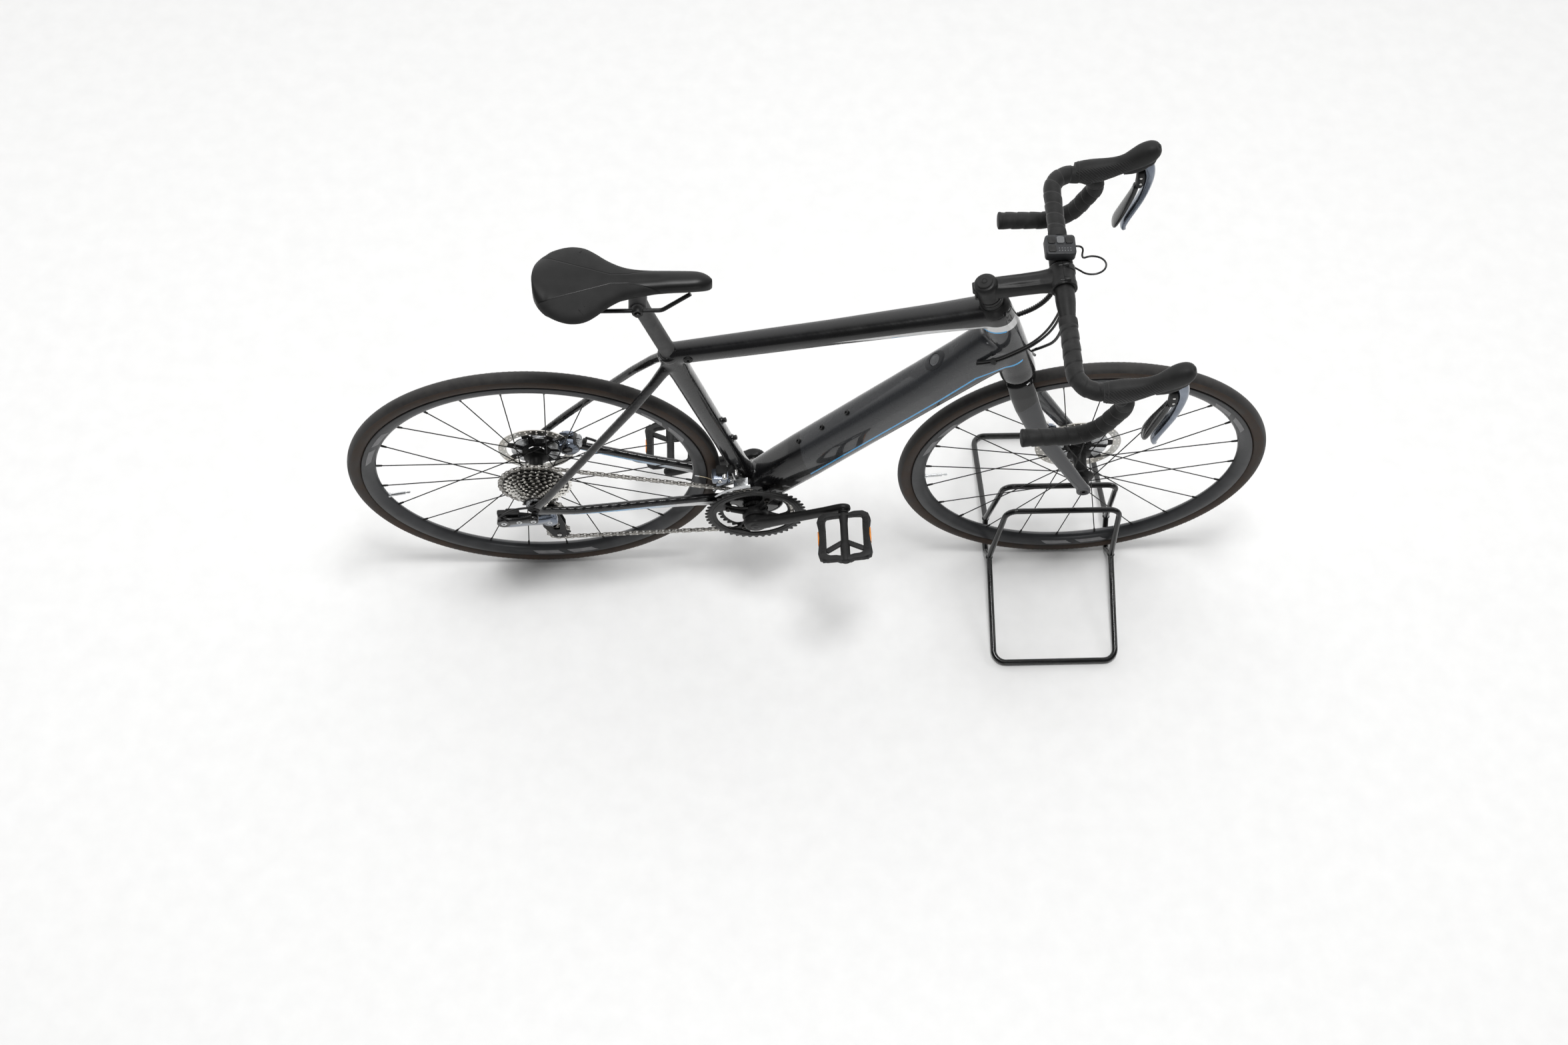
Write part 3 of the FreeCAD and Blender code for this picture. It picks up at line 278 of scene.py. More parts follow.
def make(name, form, materials, body, cad=(), bevel=0.0, smooth=0, sharp=40, change=None):
    """Turns a form into a finished piece that rides on a body."""
    mesh = bpy.data.meshes.new(name)
    mesh.from_pydata(form.points, [], form.faces)
    layer = mesh.uv_layers.new(name="UVMap")
    for polygon, mark, corners in zip(mesh.polygons, form.marks, form.corners):
        polygon.material_index = mark
        for loop_index, corner in zip(polygon.loop_indices, corners):
            layer.data[loop_index].uv = corner
    tidy = bmesh.new()
    tidy.from_mesh(mesh)
    bmesh.ops.remove_doubles(tidy, verts=tidy.verts, dist=2e-6)
    bmesh.ops.recalc_face_normals(tidy, faces=tidy.faces)
    tidy.to_mesh(mesh)
    tidy.free()
    piece = bpy.data.objects.new(name, mesh)
    bpy.context.scene.collection.objects.link(piece)
    for material in materials if isinstance(materials, (list, tuple)) else [materials]:
        mesh.materials.append(material)
    if change:
        change(piece)
    if bevel:
        edge = piece.modifiers.new("edges", "BEVEL")
        edge.width = bevel * MM
        edge.segments = 2
        edge.limit_method = "ANGLE"
        edge.angle_limit = math.radians(40)
        edge.use_clamp_overlap = True
    if smooth:
        surface = piece.modifiers.new("surface", "SUBSURF")
        surface.levels = smooth
        surface.render_levels = smooth
    bake_modifiers(piece)
    shade(piece.data, sharp)
    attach(piece, body)
    if cad:
        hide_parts(*cad)
    return piece


def bake_modifiers(piece):
    """Replaces a piece's mesh by what its modifiers make of it."""
    if not piece.modifiers:
        return
    view = bpy.context.evaluated_depsgraph_get()
    view.update()
    result = bpy.data.meshes.new_from_object(piece.evaluated_get(view), depsgraph=view)
    result.name = piece.name
    piece.modifiers.clear()
    piece.data = result


def shade(mesh, sharp):
    for polygon in mesh.polygons:
        polygon.use_smooth = True
    mesh.set_sharp_from_angle(angle=math.radians(sharp))


# ---- materials ----

def node(material, kind, **inputs):
    """Adds a shader node and sets its inputs; an input is a value or another node's socket."""
    item = material.node_tree.nodes.new(kind)
    for name, given in inputs.items():
        key = int(name[1:]) if name[0] == "_" else name.replace("_", " ")
        if isinstance(given, bpy.types.NodeSocket):
            material.node_tree.links.new(given, item.inputs[key])
        else:
            item.inputs[key].default_value = given
    return item


def maths(material, operation, first, second=0.0, third=0.0):
    item = material.node_tree.nodes.new("ShaderNodeMath")
    item.operation = operation
    for socket, given in zip(item.inputs, (first, second, third)):
        if isinstance(given, bpy.types.NodeSocket):
            material.node_tree.links.new(given, socket)
        else:
            socket.default_value = given
    return item.outputs[0]


def mixed(material, share, first, second):
    """Blends two colours; each is a tuple or a socket."""
    item = material.node_tree.nodes.new("ShaderNodeMix")
    item.data_type = "RGBA"
    for key, given in ((0, share), (6, first), (7, second)):
        if isinstance(given, bpy.types.NodeSocket):
            material.node_tree.links.new(given, item.inputs[key])
        elif key:
            item.inputs[key].default_value = (*given, 1.0)
        else:
            item.inputs[key].default_value = given
    return item.outputs[2]


def new_material(name, roughness=0.4, metallic=0.0, coat=0.0, coat_roughness=0.03, sheen=0.0,
                 level=0.2):
    material = bpy.data.materials.new(name)
    material.use_nodes = True
    shader = material.node_tree.nodes["Principled BSDF"]
    shader.inputs["Roughness"].default_value = roughness
    shader.inputs["Metallic"].default_value = metallic
    shader.inputs["Coat Weight"].default_value = coat
    shader.inputs["Coat Roughness"].default_value = coat_roughness
    shader.inputs["Coat IOR"].default_value = 1.34
    shader.inputs["Sheen Weight"].default_value = sheen
    shader.inputs["Specular IOR Level"].default_value = level
    return material


def plug(material, name, socket):
    shader = material.node_tree.nodes["Principled BSDF"]
    material.node_tree.links.new(socket, shader.inputs[name])


def place_of(material):
    return node(material, "ShaderNodeTexCoord").outputs["Object"]


def noise_of(material, scale, detail=3.0, vector=None, roughness=0.5):
    return node(material, "ShaderNodeTexNoise", Vector=vector or place_of(material), Scale=scale,
                Detail=detail, Roughness=roughness).outputs["Fac"]


def bumped(material, height, strength=0.3, distance=0.001):
    bump = node(material, "ShaderNodeBump", Height=height, Strength=strength, Distance=distance)
    plug(material, "Normal", bump.outputs[0])


def spread(material, value, low, high, to_low=0.0, to_high=1.0):
    """Maps a span of a value to another span, clamped."""
    item = node(material, "ShaderNodeMapRange", Value=value, From_Min=low, From_Max=high,
                To_Min=to_low, To_Max=to_high)
    return item.outputs[0]


def grained(name, dark, light, scale, rough, bump=0.0, metallic=0.0, coat=0.0, coat_roughness=0.03,
            sheen=0.0, wear=0.0, fine=None, stretch=None, level=0.2):
    """A surface whose colour, roughness and relief all vary with noise.

    scale is grains per metre, rough a (low, high) pair, bump a depth in millimetres, wear
    how strongly edges and raised places lighten, and stretch draws the grain along an axis.
    """
    material = new_material(name, metallic=metallic, coat=coat, coat_roughness=coat_roughness,
                            sheen=sheen, level=level)
    where = place_of(material)
    if stretch:
        where = node(material, "ShaderNodeMapping", Vector=where, Scale=stretch).outputs[0]
    broad = noise_of(material, scale * 0.08, 4.0, where)
    grain = noise_of(material, fine or scale, 6.0, where, 0.6)
    colour = mixed(material, spread(material, broad, 0.3, 0.7), dark, light)
    if wear:
        edge = node(material, "ShaderNodeNewGeometry").outputs["Pointiness"]
        worn = maths(material, "MULTIPLY", spread(material, edge, 0.52, 0.6), wear)
        worn = maths(material, "MULTIPLY", worn, spread(material, grain, 0.4, 0.6))
        colour = mixed(material, worn, colour, tuple(min(1, c * 2.2 + 0.03) for c in light))
    plug(material, "Base Color", colour)
    plug(material, "Roughness", spread(material, grain, 0.3, 0.7, rough[0], rough[1]))
    if bump:
        bumped(material, grain, 0.8, bump * MM)
    return material


def lined(material, place, axis_x, axis_z, offset):
    """Signed distance, in metres, from a plane that holds the Y axis."""
    parts = node(material, "ShaderNodeSeparateXYZ", Vector=place)
    across = maths(material, "MULTIPLY", parts.outputs[0], axis_x)
    across = maths(material, "MULTIPLY_ADD", parts.outputs[2], axis_z, across)
    return maths(material, "SUBTRACT", across, offset)


def step(material, distance, softness=0.0004):
    """1 on the far side of a plane, 0 on the near side."""
    return spread(material, distance, -softness, softness)


def both(material, *shares):
    result = shares[0]
    for share in shares[1:]:
        result = maths(material, "MULTIPLY", result, share)
    return result


def flipped(material, share):
    return maths(material, "SUBTRACT", 1.0, share)


def side_of(material, place, start, end):
    """Signed distance, in metres, above the line through two places seen from the side."""
    run = (end - start).normalized()
    normal = Vector((-run.z, 0, run.x))
    return lined(material, place, normal.x, normal.z, normal.dot(start))


def frame_paint():
    """Black lacquer with dark grey panels, a white flash whose thin rear part is a painted highlight along
    the top tube's bottom edge, and light blue pinstripes.
    """
    material = new_material("frame_paint", coat=1.0, coat_roughness=0.02)
    place = place_of(material)
    black, grey, white, blue = (0.004,) * 3, (0.022, 0.023, 0.025), (0.8,) * 3, (0.07, 0.44, 0.86)
    low_line = side_of(material, place, spot(502, 0, 379), spot(768, 0, 694))
    nose_line = side_of(material, place, spot(768, 0, 694), spot(838, 0, 735))
    high_line = side_of(material, place, spot(480, 0, 452), spot(724, 0, 738))
    tail_line = side_of(material, place, spot(502, 0, 379), spot(478, 0, 452))
    crest_line = side_of(material, place, spot(617, 0, 806), spot(800, 0, 829))
    throat_line = side_of(material, place, spot(724, 0, 738), spot(770, 0, 812))
    band = both(material, step(material, low_line), flipped(material, step(material, high_line)),
                flipped(material, step(material, tail_line)))
    head = both(material, flipped(material, step(material, throat_line)),
                step(material, nose_line), flipped(material, step(material, crest_line)),
                flipped(material, step(material, lined(material, place, -1, 0, -spot(700, 0, 0).x))))
    panel = maths(material, "MAXIMUM", band, head)
    sides = node(material, "ShaderNodeSeparateXYZ",
                 Vector=node(material, "ShaderNodeTexCoord").outputs["Normal"])
    facing = spread(material, maths(material, "ABSOLUTE", sides.outputs[1]), 0.2, 0.5)
    speckle = noise_of(material, 900, 2.0, place)
    base = mixed(material, spread(material, noise_of(material, 9, 3.0, place), 0.3, 0.7),
                 black, (0.007, 0.007, 0.008))
    flake = mixed(material, speckle, grey, (0.034, 0.036, 0.040))
    colour = mixed(material, panel, base, flake)
    # White band on the lower side of the top tube: a white flash at the front, carried back to about 480 mm
    # as a painted highlight along the tube's bottom edge.
    below = [flipped(material, step(material, side_of(material, place, start, end))) for start, end in
             ((spot(480, 0, 784), spot(667, 0, 828)), (spot(667, 0, 828), spot(800, 0, 847)))]
    under = both(material, step(material, crest_line), *below)
    colour = mixed(material, both(material, under, facing), colour, white)
    for line, start, end in ((crest_line, 617, 803), (low_line, 502, 768), (nose_line, 768, 842)):
        near = flipped(material, spread(material, maths(material, "ABSOLUTE", line), 0.0018, 0.0022))
        after = step(material, lined(material, place, 1, 0, spot(start, 0, 0).x))
        until = flipped(material, step(material, lined(material, place, 1, 0, spot(end, 0, 0).x)))
        colour = mixed(material, both(material, near, after, until, facing), colour, blue)
    tail = both(material, step(material, lined(material, place, 1, 0, spot(60, 0, 0).x)),
                flipped(material, step(material, lined(material, place, 1, 0, spot(330, 0, 0).x))),
                flipped(material, step(material, side_of(
                    material, place, spot(60, 0, 318), spot(330, 0, 286)), 0.0006)),
                step(material, side_of(material, place, spot(60, 0, 314), spot(330, 0, 268)), 0.0006))
    outward = spread(material, maths(material, "ABSOLUTE", sides.outputs[1]), 0.3, 0.6)
    fade = spread(material, node(material, "ShaderNodeSeparateXYZ", Vector=place).outputs[0],
                  spot(150, 0, 0).x, spot(260, 0, 0).x)
    colour = mixed(material, both(material, tail, outward), colour,
                   mixed(material, fade, (0.22, 0.52, 0.85), white))
    plug(material, "Base Color", colour)
    plug(material, "Roughness", spread(material, noise_of(material, 40, 4.0, place), 0.3, 0.7,
                                       0.2, 0.34))
    bumped(material, noise_of(material, 260, 2.0, place), 0.25, 0.00006)
    return material


PAINT = frame_paint()
GLOSS_BLACK = grained("gloss_black", (0.004,) * 3, (0.008,) * 3, 400, (0.2, 0.3), coat=1.0,
                      bump=0.01, coat_roughness=0.025)
SATIN_BLACK = grained("satin_black", (0.006,) * 3, (0.011,) * 3, 1200, (0.38, 0.55), bump=0.02,
                      wear=0.25, coat=0.1, coat_roughness=0.3)
POST_GREY = grained("post_grey", (0.075,) * 3, (0.10,) * 3, 900, (0.42, 0.55), bump=0.015)
MATTE_BLACK = grained("matte_black", (0.012,) * 3, (0.02,) * 3, 1500, (0.5, 0.7), bump=0.03)
PLASTIC = grained("black_plastic", (0.012,) * 3, (0.022,) * 3, 2200, (0.4, 0.6), bump=0.04)
GREY_PLASTIC = grained("grey_plastic", (0.026, 0.027, 0.029), (0.038, 0.039, 0.042), 2200,
                       (0.45, 0.6), bump=0.04)
LIGHT_GREY = grained("button_grey", (0.10, 0.103, 0.107), (0.14, 0.143, 0.147), 1800, (0.4, 0.55),
                     bump=0.03)
RUBBER = grained("rubber", (0.016,) * 3, (0.028,) * 3, 2600, (0.6, 0.8), bump=0.06, sheen=0.1)
STEEL = grained("steel", (0.55, 0.55, 0.54), (0.68, 0.67, 0.65), 500, (0.2, 0.38), bump=0.01,
                metallic=1.0)
BLACK_STEEL = grained("black_steel", (0.02,) * 3, (0.035,) * 3, 800, (0.3, 0.45), bump=0.01,
                      metallic=0.7)
CHAIN_STEEL = grained("chain_steel", (0.20, 0.19, 0.175), (0.34, 0.325, 0.30), 700, (0.24, 0.42),
                      bump=0.02, metallic=1.0)
DARK_STEEL = grained("dark_steel", (0.035, 0.034, 0.032), (0.07, 0.067, 0.063), 700, (0.3, 0.5),
                     bump=0.02, metallic=1.0)
COG_STEEL = grained("cog_steel", (0.66, 0.64, 0.60), (0.84, 0.82, 0.77), 260, (0.2, 0.4),
                    bump=0.01, metallic=1.0)
BLUE_GREY = grained("blue_grey_alloy", (0.13, 0.15, 0.19), (0.2, 0.23, 0.28), 600, (0.16, 0.28),
                    bump=0.005, metallic=0.9, coat=0.7, coat_roughness=0.05)
SILVER = grained("silver_alloy", (0.5, 0.51, 0.52), (0.62, 0.63, 0.64), 700, (0.22, 0.38),
                 bump=0.008, metallic=1.0)
BRASS = grained("pin_brass", (0.5, 0.42, 0.28), (0.6, 0.52, 0.36), 700, (0.25, 0.4), metallic=1.0)
REFLECTOR = grained("orange_reflector", (0.75, 0.22, 0.02), (0.9, 0.32, 0.04), 1500, (0.15, 0.3),
                    bump=0.1, coat=0.8)
RIM_GREY = grained("rim_grey", (0.030, 0.031, 0.033), (0.045, 0.046, 0.049), 300, (0.3, 0.42),
                   bump=0.008, metallic=0.35, coat=0.25, coat_roughness=0.2)
RIM_MARK = grained("rim_mark", (0.20, 0.20, 0.205), (0.27, 0.27, 0.275), 900, (0.35, 0.5))
CABLE = grained("cable_sheath", (0.012,) * 3, (0.02,) * 3, 1200, (0.3, 0.45), bump=0.02, coat=0.2)
PEDAL = grained("pedal_resin", (0.012,) * 3, (0.022,) * 3, 900, (0.45, 0.6), bump=0.25, wear=0.25)
STAND_PAINT = grained("stand_paint", (0.005,) * 3, (0.012,) * 3, 350, (0.14, 0.26), bump=0.03,
                      coat=0.6, coat_roughness=0.08, wear=0.3)


def tread_rubber():
    """Slick black tread that greys where it has rolled."""
    material = new_material("tread_rubber", sheen=0.05)
    place = place_of(material)
    dust = spread(material, noise_of(material, 30, 6.0, place, 0.7), 0.35, 0.7)
    plug(material, "Base Color", mixed(material, dust, (0.020, 0.019, 0.019), (0.042, 0.040, 0.038)))
    plug(material, "Roughness", spread(material, dust, 0, 1, 0.5, 0.75))
    bumped(material, noise_of(material, 2500, 4.0, place), 0.5, 0.00008)
    return material


def wall_rubber():
    """Sidewall: brown-black rubber over fine woven cord, with a dotted seam."""
    material = new_material("wall_rubber")
    place = place_of(material)
    cord = node(material, "ShaderNodeTexCoord").outputs["UV"]
    turned = node(material, "ShaderNodeMapping", Vector=cord, Scale=(900, 900, 1)).outputs[0]
    weave = node(material, "ShaderNodeTexWave", Vector=turned, Scale=1.0, Distortion=0.6)
    worn = spread(material, noise_of(material, 22, 6.0, place, 0.65), 0.35, 0.68)
    base = mixed(material, worn, (0.026, 0.021, 0.018), (0.060, 0.042, 0.032))
    plug(material, "Base Color", mixed(material, maths(
        material, "MULTIPLY", weave.outputs["Fac"], 0.25), base, (0.085, 0.062, 0.048)))
    plug(material, "Roughness", spread(material, worn, 0, 1, 0.5, 0.72))
    bumped(material, weave.outputs["Fac"], 0.3, 0.00008)
    return material


def tape_cloth():
    """Bar tape: soft black polymer with a fine embossed grain and duller overlaps."""
    material = new_material("tape_cloth", sheen=0.15)
    place = place_of(material)
    cells = node(material, "ShaderNodeTexVoronoi", Vector=place, Scale=900.0).outputs["Distance"]
    shade_of = spread(material, noise_of(material, 60, 5.0, place), 0.3, 0.7)
    plug(material, "Base Color", mixed(material, shade_of, (0.007,) * 3, (0.016,) * 3))
    plug(material, "Roughness", spread(material, cells, 0.1, 0.8, 0.52, 0.72))
    bumped(material, cells, 0.5, 0.00012)
    return material


def hood_rubber():
    """Moulded hood rubber with raised wavy ribs in its side panels."""
    material = new_material("hood_rubber", sheen=0.1)
    place = place_of(material)
    wave = node(material, "ShaderNodeTexWave", Vector=place, Scale=105.0, Distortion=3.2,
                Detail=1.0, Detail_Scale=0.8)
    wave.bands_direction = "DIAGONAL"
    parts = node(material, "ShaderNodeSeparateXYZ",
                 Vector=node(material, "ShaderNodeTexCoord").outputs["Normal"])
    side = spread(material, maths(material, "ABSOLUTE", parts.outputs[1]), 0.45, 0.8)
    back = spread(material, lined(material, place, 1, 0, spot(1000, 0, 0).x), 0.0, 0.012, 1, 0)
    ribs = maths(material, "MULTIPLY", wave.outputs["Fac"], both(material, side, back))
    base = mixed(material, spread(material, noise_of(material, 50, 4.0, place), 0.3, 0.7),
                 (0.007,) * 3, (0.013,) * 3)
    plug(material, "Base Color", mixed(material, ribs, base, (0.022,) * 3))
    plug(material, "Roughness", spread(material, noise_of(material, 2000, 3.0, place), 0.3, 0.7,
                                       0.5, 0.7))
    bumped(material, ribs, 0.8, 0.0007)
    return material


def saddle_cover():
    """Smooth synthetic leather on the spine, grained leather on the wings, a seam between."""
    material = new_material("saddle_cover", sheen=0.05)
    place = place_of(material)
    parts = node(material, "ShaderNodeSeparateXYZ", Vector=place)
    ahead, out = parts.outputs[0], maths(material, "ABSOLUTE", parts.outputs[1])
    tail = spread(material, ahead, spot(168, 0, 0).x, spot(64, 0, 0).x, 0.009, 0.041)
    nose = spread(material, ahead, spot(196, 0, 0).x, spot(276, 0, 0).x, 0.0, 0.017)
    inside = maths(material, "SUBTRACT", maths(material, "ADD", tail, nose), out)
    wing = spread(material, inside, 0.0002, -0.0002)
    seam = spread(material, maths(material, "ABSOLUTE", inside), 0.0014, 0.0004)
    cells = node(material, "ShaderNodeTexVoronoi", Vector=place, Scale=1300.0)
    cells.feature = "DISTANCE_TO_EDGE"
    grain = maths(material, "MULTIPLY", cells.outputs["Distance"], wing)
    shade_of = spread(material, noise_of(material, 40, 4.0, place), 0.3, 0.7)
    smooth = mixed(material, shade_of, (0.006,) * 3, (0.010,) * 3)
    rough = mixed(material, shade_of, (0.010,) * 3, (0.016,) * 3)
    colour = mixed(material, wing, smooth, rough)
    plug(material, "Base Color", mixed(material, seam, colour, (0.003,) * 3))
    plug(material, "Roughness", spread(material, wing, 0.0, 1.0, 0.36, 0.68))
    relief = maths(material, "SUBTRACT", maths(material, "MULTIPLY", grain, 0.3), seam)
    bumped(material, relief, 0.7, 0.0005)
    return material


def brake_steel():
    """Rotor steel, brushed round its centre by the pads."""
    material = new_material("brake_steel", metallic=1.0)
    wide = node(material, "ShaderNodeMapping", Vector=node(
        material, "ShaderNodeTexCoord").outputs["UV"], Scale=(2, 5000, 1)).outputs[0]
    rings = noise_of(material, 1.0, 4.0, wide)
    heat = spread(material, noise_of(material, 25, 3.0), 0.35, 0.7)
    plug(material, "Base Color", mixed(material, heat, (0.60, 0.60, 0.58), (0.52, 0.48, 0.42)))
    plug(material, "Roughness", spread(material, rings, 0.3, 0.7, 0.2, 0.42))
    bumped(material, rings, 0.3, 0.00003)
    return material


TREAD = tread_rubber()
WALL = wall_rubber()
TAPE = tape_cloth()
HOOD = hood_rubber()
SADDLE_COVER = saddle_cover()
ROTOR = brake_steel()


# ---- floor, light and camera ----

def make_stage():
    """Pale floor, a sky brightest towards the left side, and four soft lamps."""
    floor = Form().rows([[Vector((x, y, -0.0008)) for x in (-14, 14)] for y in (-14, 14)],
                        closed=False)
    material = grained("floor_vinyl", (0.80, 0.80, 0.795), (0.83, 0.83, 0.825), 300, (0.5, 0.62),
                       bump=0.02, level=0.3)
    mesh = bpy.data.meshes.new("floor")
    mesh.from_pydata(floor.points, [], floor.faces)
    mesh.materials.append(material)
    ground = bpy.data.objects.new("floor", mesh)
    bpy.context.scene.collection.objects.link(ground)
    world = bpy.data.worlds.new("studio")
    world.use_nodes = True
    links, nodes = world.node_tree.links, world.node_tree.nodes
    parts = nodes.new("ShaderNodeSeparateXYZ")
    links.new(nodes.new("ShaderNodeTexCoord").outputs["Generated"], parts.inputs[0])
    wall = nodes.new("ShaderNodeMapRange")
    wall.interpolation_type = "SMOOTHSTEP"
    for socket, value in (("From Min", 0.12), ("From Max", 0.75), ("To Min", 0.13), ("To Max", 1.75)):
        wall.inputs[socket].default_value = value
    links.new(parts.outputs[1], wall.inputs["Value"])
    sky = nodes["Background"]
    sky.inputs["Color"].default_value = (1.0, 1.0, 1.0, 1.0)
    links.new(wall.outputs["Result"], sky.inputs["Strength"])
    bpy.context.scene.world = world
    lamps = (("ceiling", (0.2, -0.2, 5.2), 1.7, 175), ("front", (0.6, -4.4, 1.5), 1.2, 16),
             ("left_end", (-4.2, 0.8, 2.4), 1.4, 30), ("right_end", (4.2, 0.8, 2.4), 1.4, 20))
    for name, place, wide, power in lamps:
        light = bpy.data.lights.new(name, "AREA")
        light.shape = "RECTANGLE"
        light.size = wide
        light.size_y = wide * 0.6
        light.energy = power
        lamp = bpy.data.objects.new(name, light)
        lamp.location = place
        aim = Vector((0, 0, 0.4)) - Vector(place)
        lamp.rotation_euler = aim.to_track_quat("-Z", "Y").to_euler()
        bpy.context.scene.collection.objects.link(lamp)


CAMERA_PLACE = spot(304.7, -1736.5, 3461)
CAMERA_ANGLES = (27.54, -1.62, -2.07)


def make_camera():
    """A camera high above the right side, turned a little, as a product shot is taken."""
    camera = bpy.data.objects.new("camera", bpy.data.cameras.new("camera"))
    camera.location = CAMERA_PLACE
    camera.rotation_euler = [math.radians(angle) for angle in CAMERA_ANGLES]
    camera.data.sensor_width = 36
    camera.data.sensor_fit = "HORIZONTAL"
    camera.data.lens = 44.48
    camera.data.clip_end = 100
    bpy.context.scene.collection.objects.link(camera)
    bpy.context.scene.camera = camera
    bpy.context.scene.view_settings.view_transform = "Standard"


make_stage()
make_camera()


# ---- the frame ----

def frame_shell():
    """The moulded frame: lofted tubes melted into one skin."""
    form = Form()
    top = [(spot(255, 0, 738), 17, 18), (spot(400, 0, 769), 19, 18.5), (spot(520, 0, 795), 20, 19),
           (spot(690, 0, 833), 23, 21), (spot(800, 0, 858), 26, 26)]
    run = (top[-1][0] - top[0][0]).normalized()
    form.rows([oval(c, a, b, run, 2.9, 40) for c, a, b in top], caps=BOTH_ENDS)
    low, high = spot(415, 0, 297), spot(804, 0, 760)
    run = (high - low).normalized()
    down = [(low - run * 0.02, 35, 36), (low, 35, 38), (low + run * 0.12, 35, 42),
            (low + run * 0.44, 34, 42), (low + run * 0.53, 31, 46), (high + run * 0.005, 28, 52)]
    form.rows([oval(c, a, b, run, 3.2, 48) for c, a, b in down], caps=BOTH_ENDS)
    head = [(CROWN + STEER * u * MM, r, r + t) for u, r, t in
            ((0.6, 30, 1), (12, 30, 2), (30, 28.5, 4), (90, 27.5, 5), (150, 28, 4), (192, 28, 1),
             (207.5, 27.5, 0.5))]
    form.rows([oval(c, a, b, STEER, 2.0, 48) for c, a, b in head], caps=BOTH_ENDS)
    seat = [(BRACKET + SEAT * u * MM, a, b) for u, a, b in
            ((20, 26, 27), (60, 23, 22), (110, 20, 18), (200, 18, 17), (300, 18, 18),
             (440, 18, 19), (480, 18.5, 22), (506, 18.5, 21))]
    form.rows([oval(c, a, b, SEAT, 2.5, 40) for c, a, b in seat], caps=BOTH_ENDS)
    drum = BRACKET + Vector((0.008, 0, 0.008))
    form.lathe(drum, [(38, -35), (45, -33), (48, -26), (48, 26), (45, 33), (38, 35)], 64, caps=BOTH_ENDS)
    form.rows([oval(drum + Vector((x, 0, z)) * MM, 27, t, X_AXIS, 3, 32) for x, z, t in
               ((-30, -14, 22), (10, -8, 36), (44, 16, 34))], caps=BOTH_ENDS)
    for side in BOTH_SIDES:
        lean = Vector((0.55, 0, 0.83)).normalized()
        upper = [(spot(4, side * 75, 345), 4.4, 9, lean), (spot(22, side * 74, 372), 4.6, 8.5, lean),
                 (spot(60, side * 67, 432), 6, 8, lean), (spot(125, side * 53, 531), 6.6, 7.6, lean),
                 (spot(190, side * 38, 628), 7, 8.5, lean), (spot(226, side * 25, 682), 8, 9, lean),
                 (spot(250, side * 12, 716), 9, 11, lean)]
        form.rows([oval(c, a, b, n, 2.3, 28) for c, a, b, n in upper], caps=BOTH_ENDS)
        lower = [(spot(2, side * 75, 331), 4.4, 12), (spot(30, side * 73, 328), 5, 11),
                 (spot(70, side * 69.5, 321), 6.4, 11), (spot(110, side * 63, 314), 7, 11.5),
                 (spot(200, side * 48, 300), 7.2, 12.5), (spot(300, side * 33, 285), 7.8, 15),
                 (spot(345, side * 28, 278), 8.5, 17), (spot(392, side * 22, 270), 10, 20)]
        form.rows([oval(c, a, b, X_AXIS, 2.6, 28) for c, a, b in lower], caps=BOTH_ENDS)
        form.lathe(REAR_AXLE, [(7, side * 71.3), (13, side * 71.3), (14, side * 72.5),
                               (14, side * 77.5), (13, side * 78.7), (7, side * 78.7)], 48, loop=True)
    return form


def lump(centre, size, heading, name):
    """An egg-shaped cutter: its three half sizes are along the heading, upright and sideways."""
    side = Y_AXIS
    upright = heading.cross(side).normalized()
    cutter = bmesh.new()
    bmesh.ops.create_uvsphere(cutter, u_segments=32, v_segments=24, radius=1.0)
    for vert in cutter.verts:
        x, y, z = vert.co
        vert.co = centre + heading * x * size[0] * MM + upright * z * size[1] * MM + \
            side * y * size[2] * MM
    mesh = bpy.data.meshes.new(name)
    cutter.to_mesh(mesh)
    cutter.free()
    item = bpy.data.objects.new(name, mesh)
    bpy.context.scene.collection.objects.link(item)
    return item


def melt(piece):
    """Voxel remesh and smoothing, with the cable pockets pressed in."""
    heading = (spot(812, 0, 772) - spot(768, 0, 733)).normalized()
    cutters = [lump(spot(796, side * 40, 752), (36, 12, 15), heading, "pocket") for side in BOTH_SIDES]
    voxel = 0.0024
    net = piece.modifiers.new("net", "REMESH")
    net.mode = "VOXEL"
    net.voxel_size = voxel
    net.use_smooth_shade = True
    bake_modifiers(piece)
    for cutter in cutters:
        press = piece.modifiers.new("press", "BOOLEAN")
        press.operation = "DIFFERENCE"
        press.object = cutter
    again = piece.modifiers.new("again", "REMESH")
    again.mode = "VOXEL"
    again.voxel_size = voxel
    soften = piece.modifiers.new("soften", "SMOOTH")
    soften.factor = 0.5
    soften.iterations = 9
    bake_modifiers(piece)
    for cutter in cutters:
        bpy.data.objects.remove(cutter)


make("frame_shell", frame_shell(), PAINT, "frame", change=melt, sharp=180,
     cad=("head_tube", "top_tube", "down_tube", "seat_tube", "seat_stays", "chain_stays",
          "motor_housing"))


# ---- wheels ----

TYRE_CENTRE, TYRE_SECTION = 325.0, 14.0
RIM_PROFILE = [(313.6, 10.6), (312.6, 11.7), (307, 12.1), (301, 11.3), (295, 9.0), (290.6, 5.6),
               (288.2, 2.8), (287.4, 0)]
SPOKE_COUNT = 24
STITCHES, STITCH_ANGLE = 210, 62


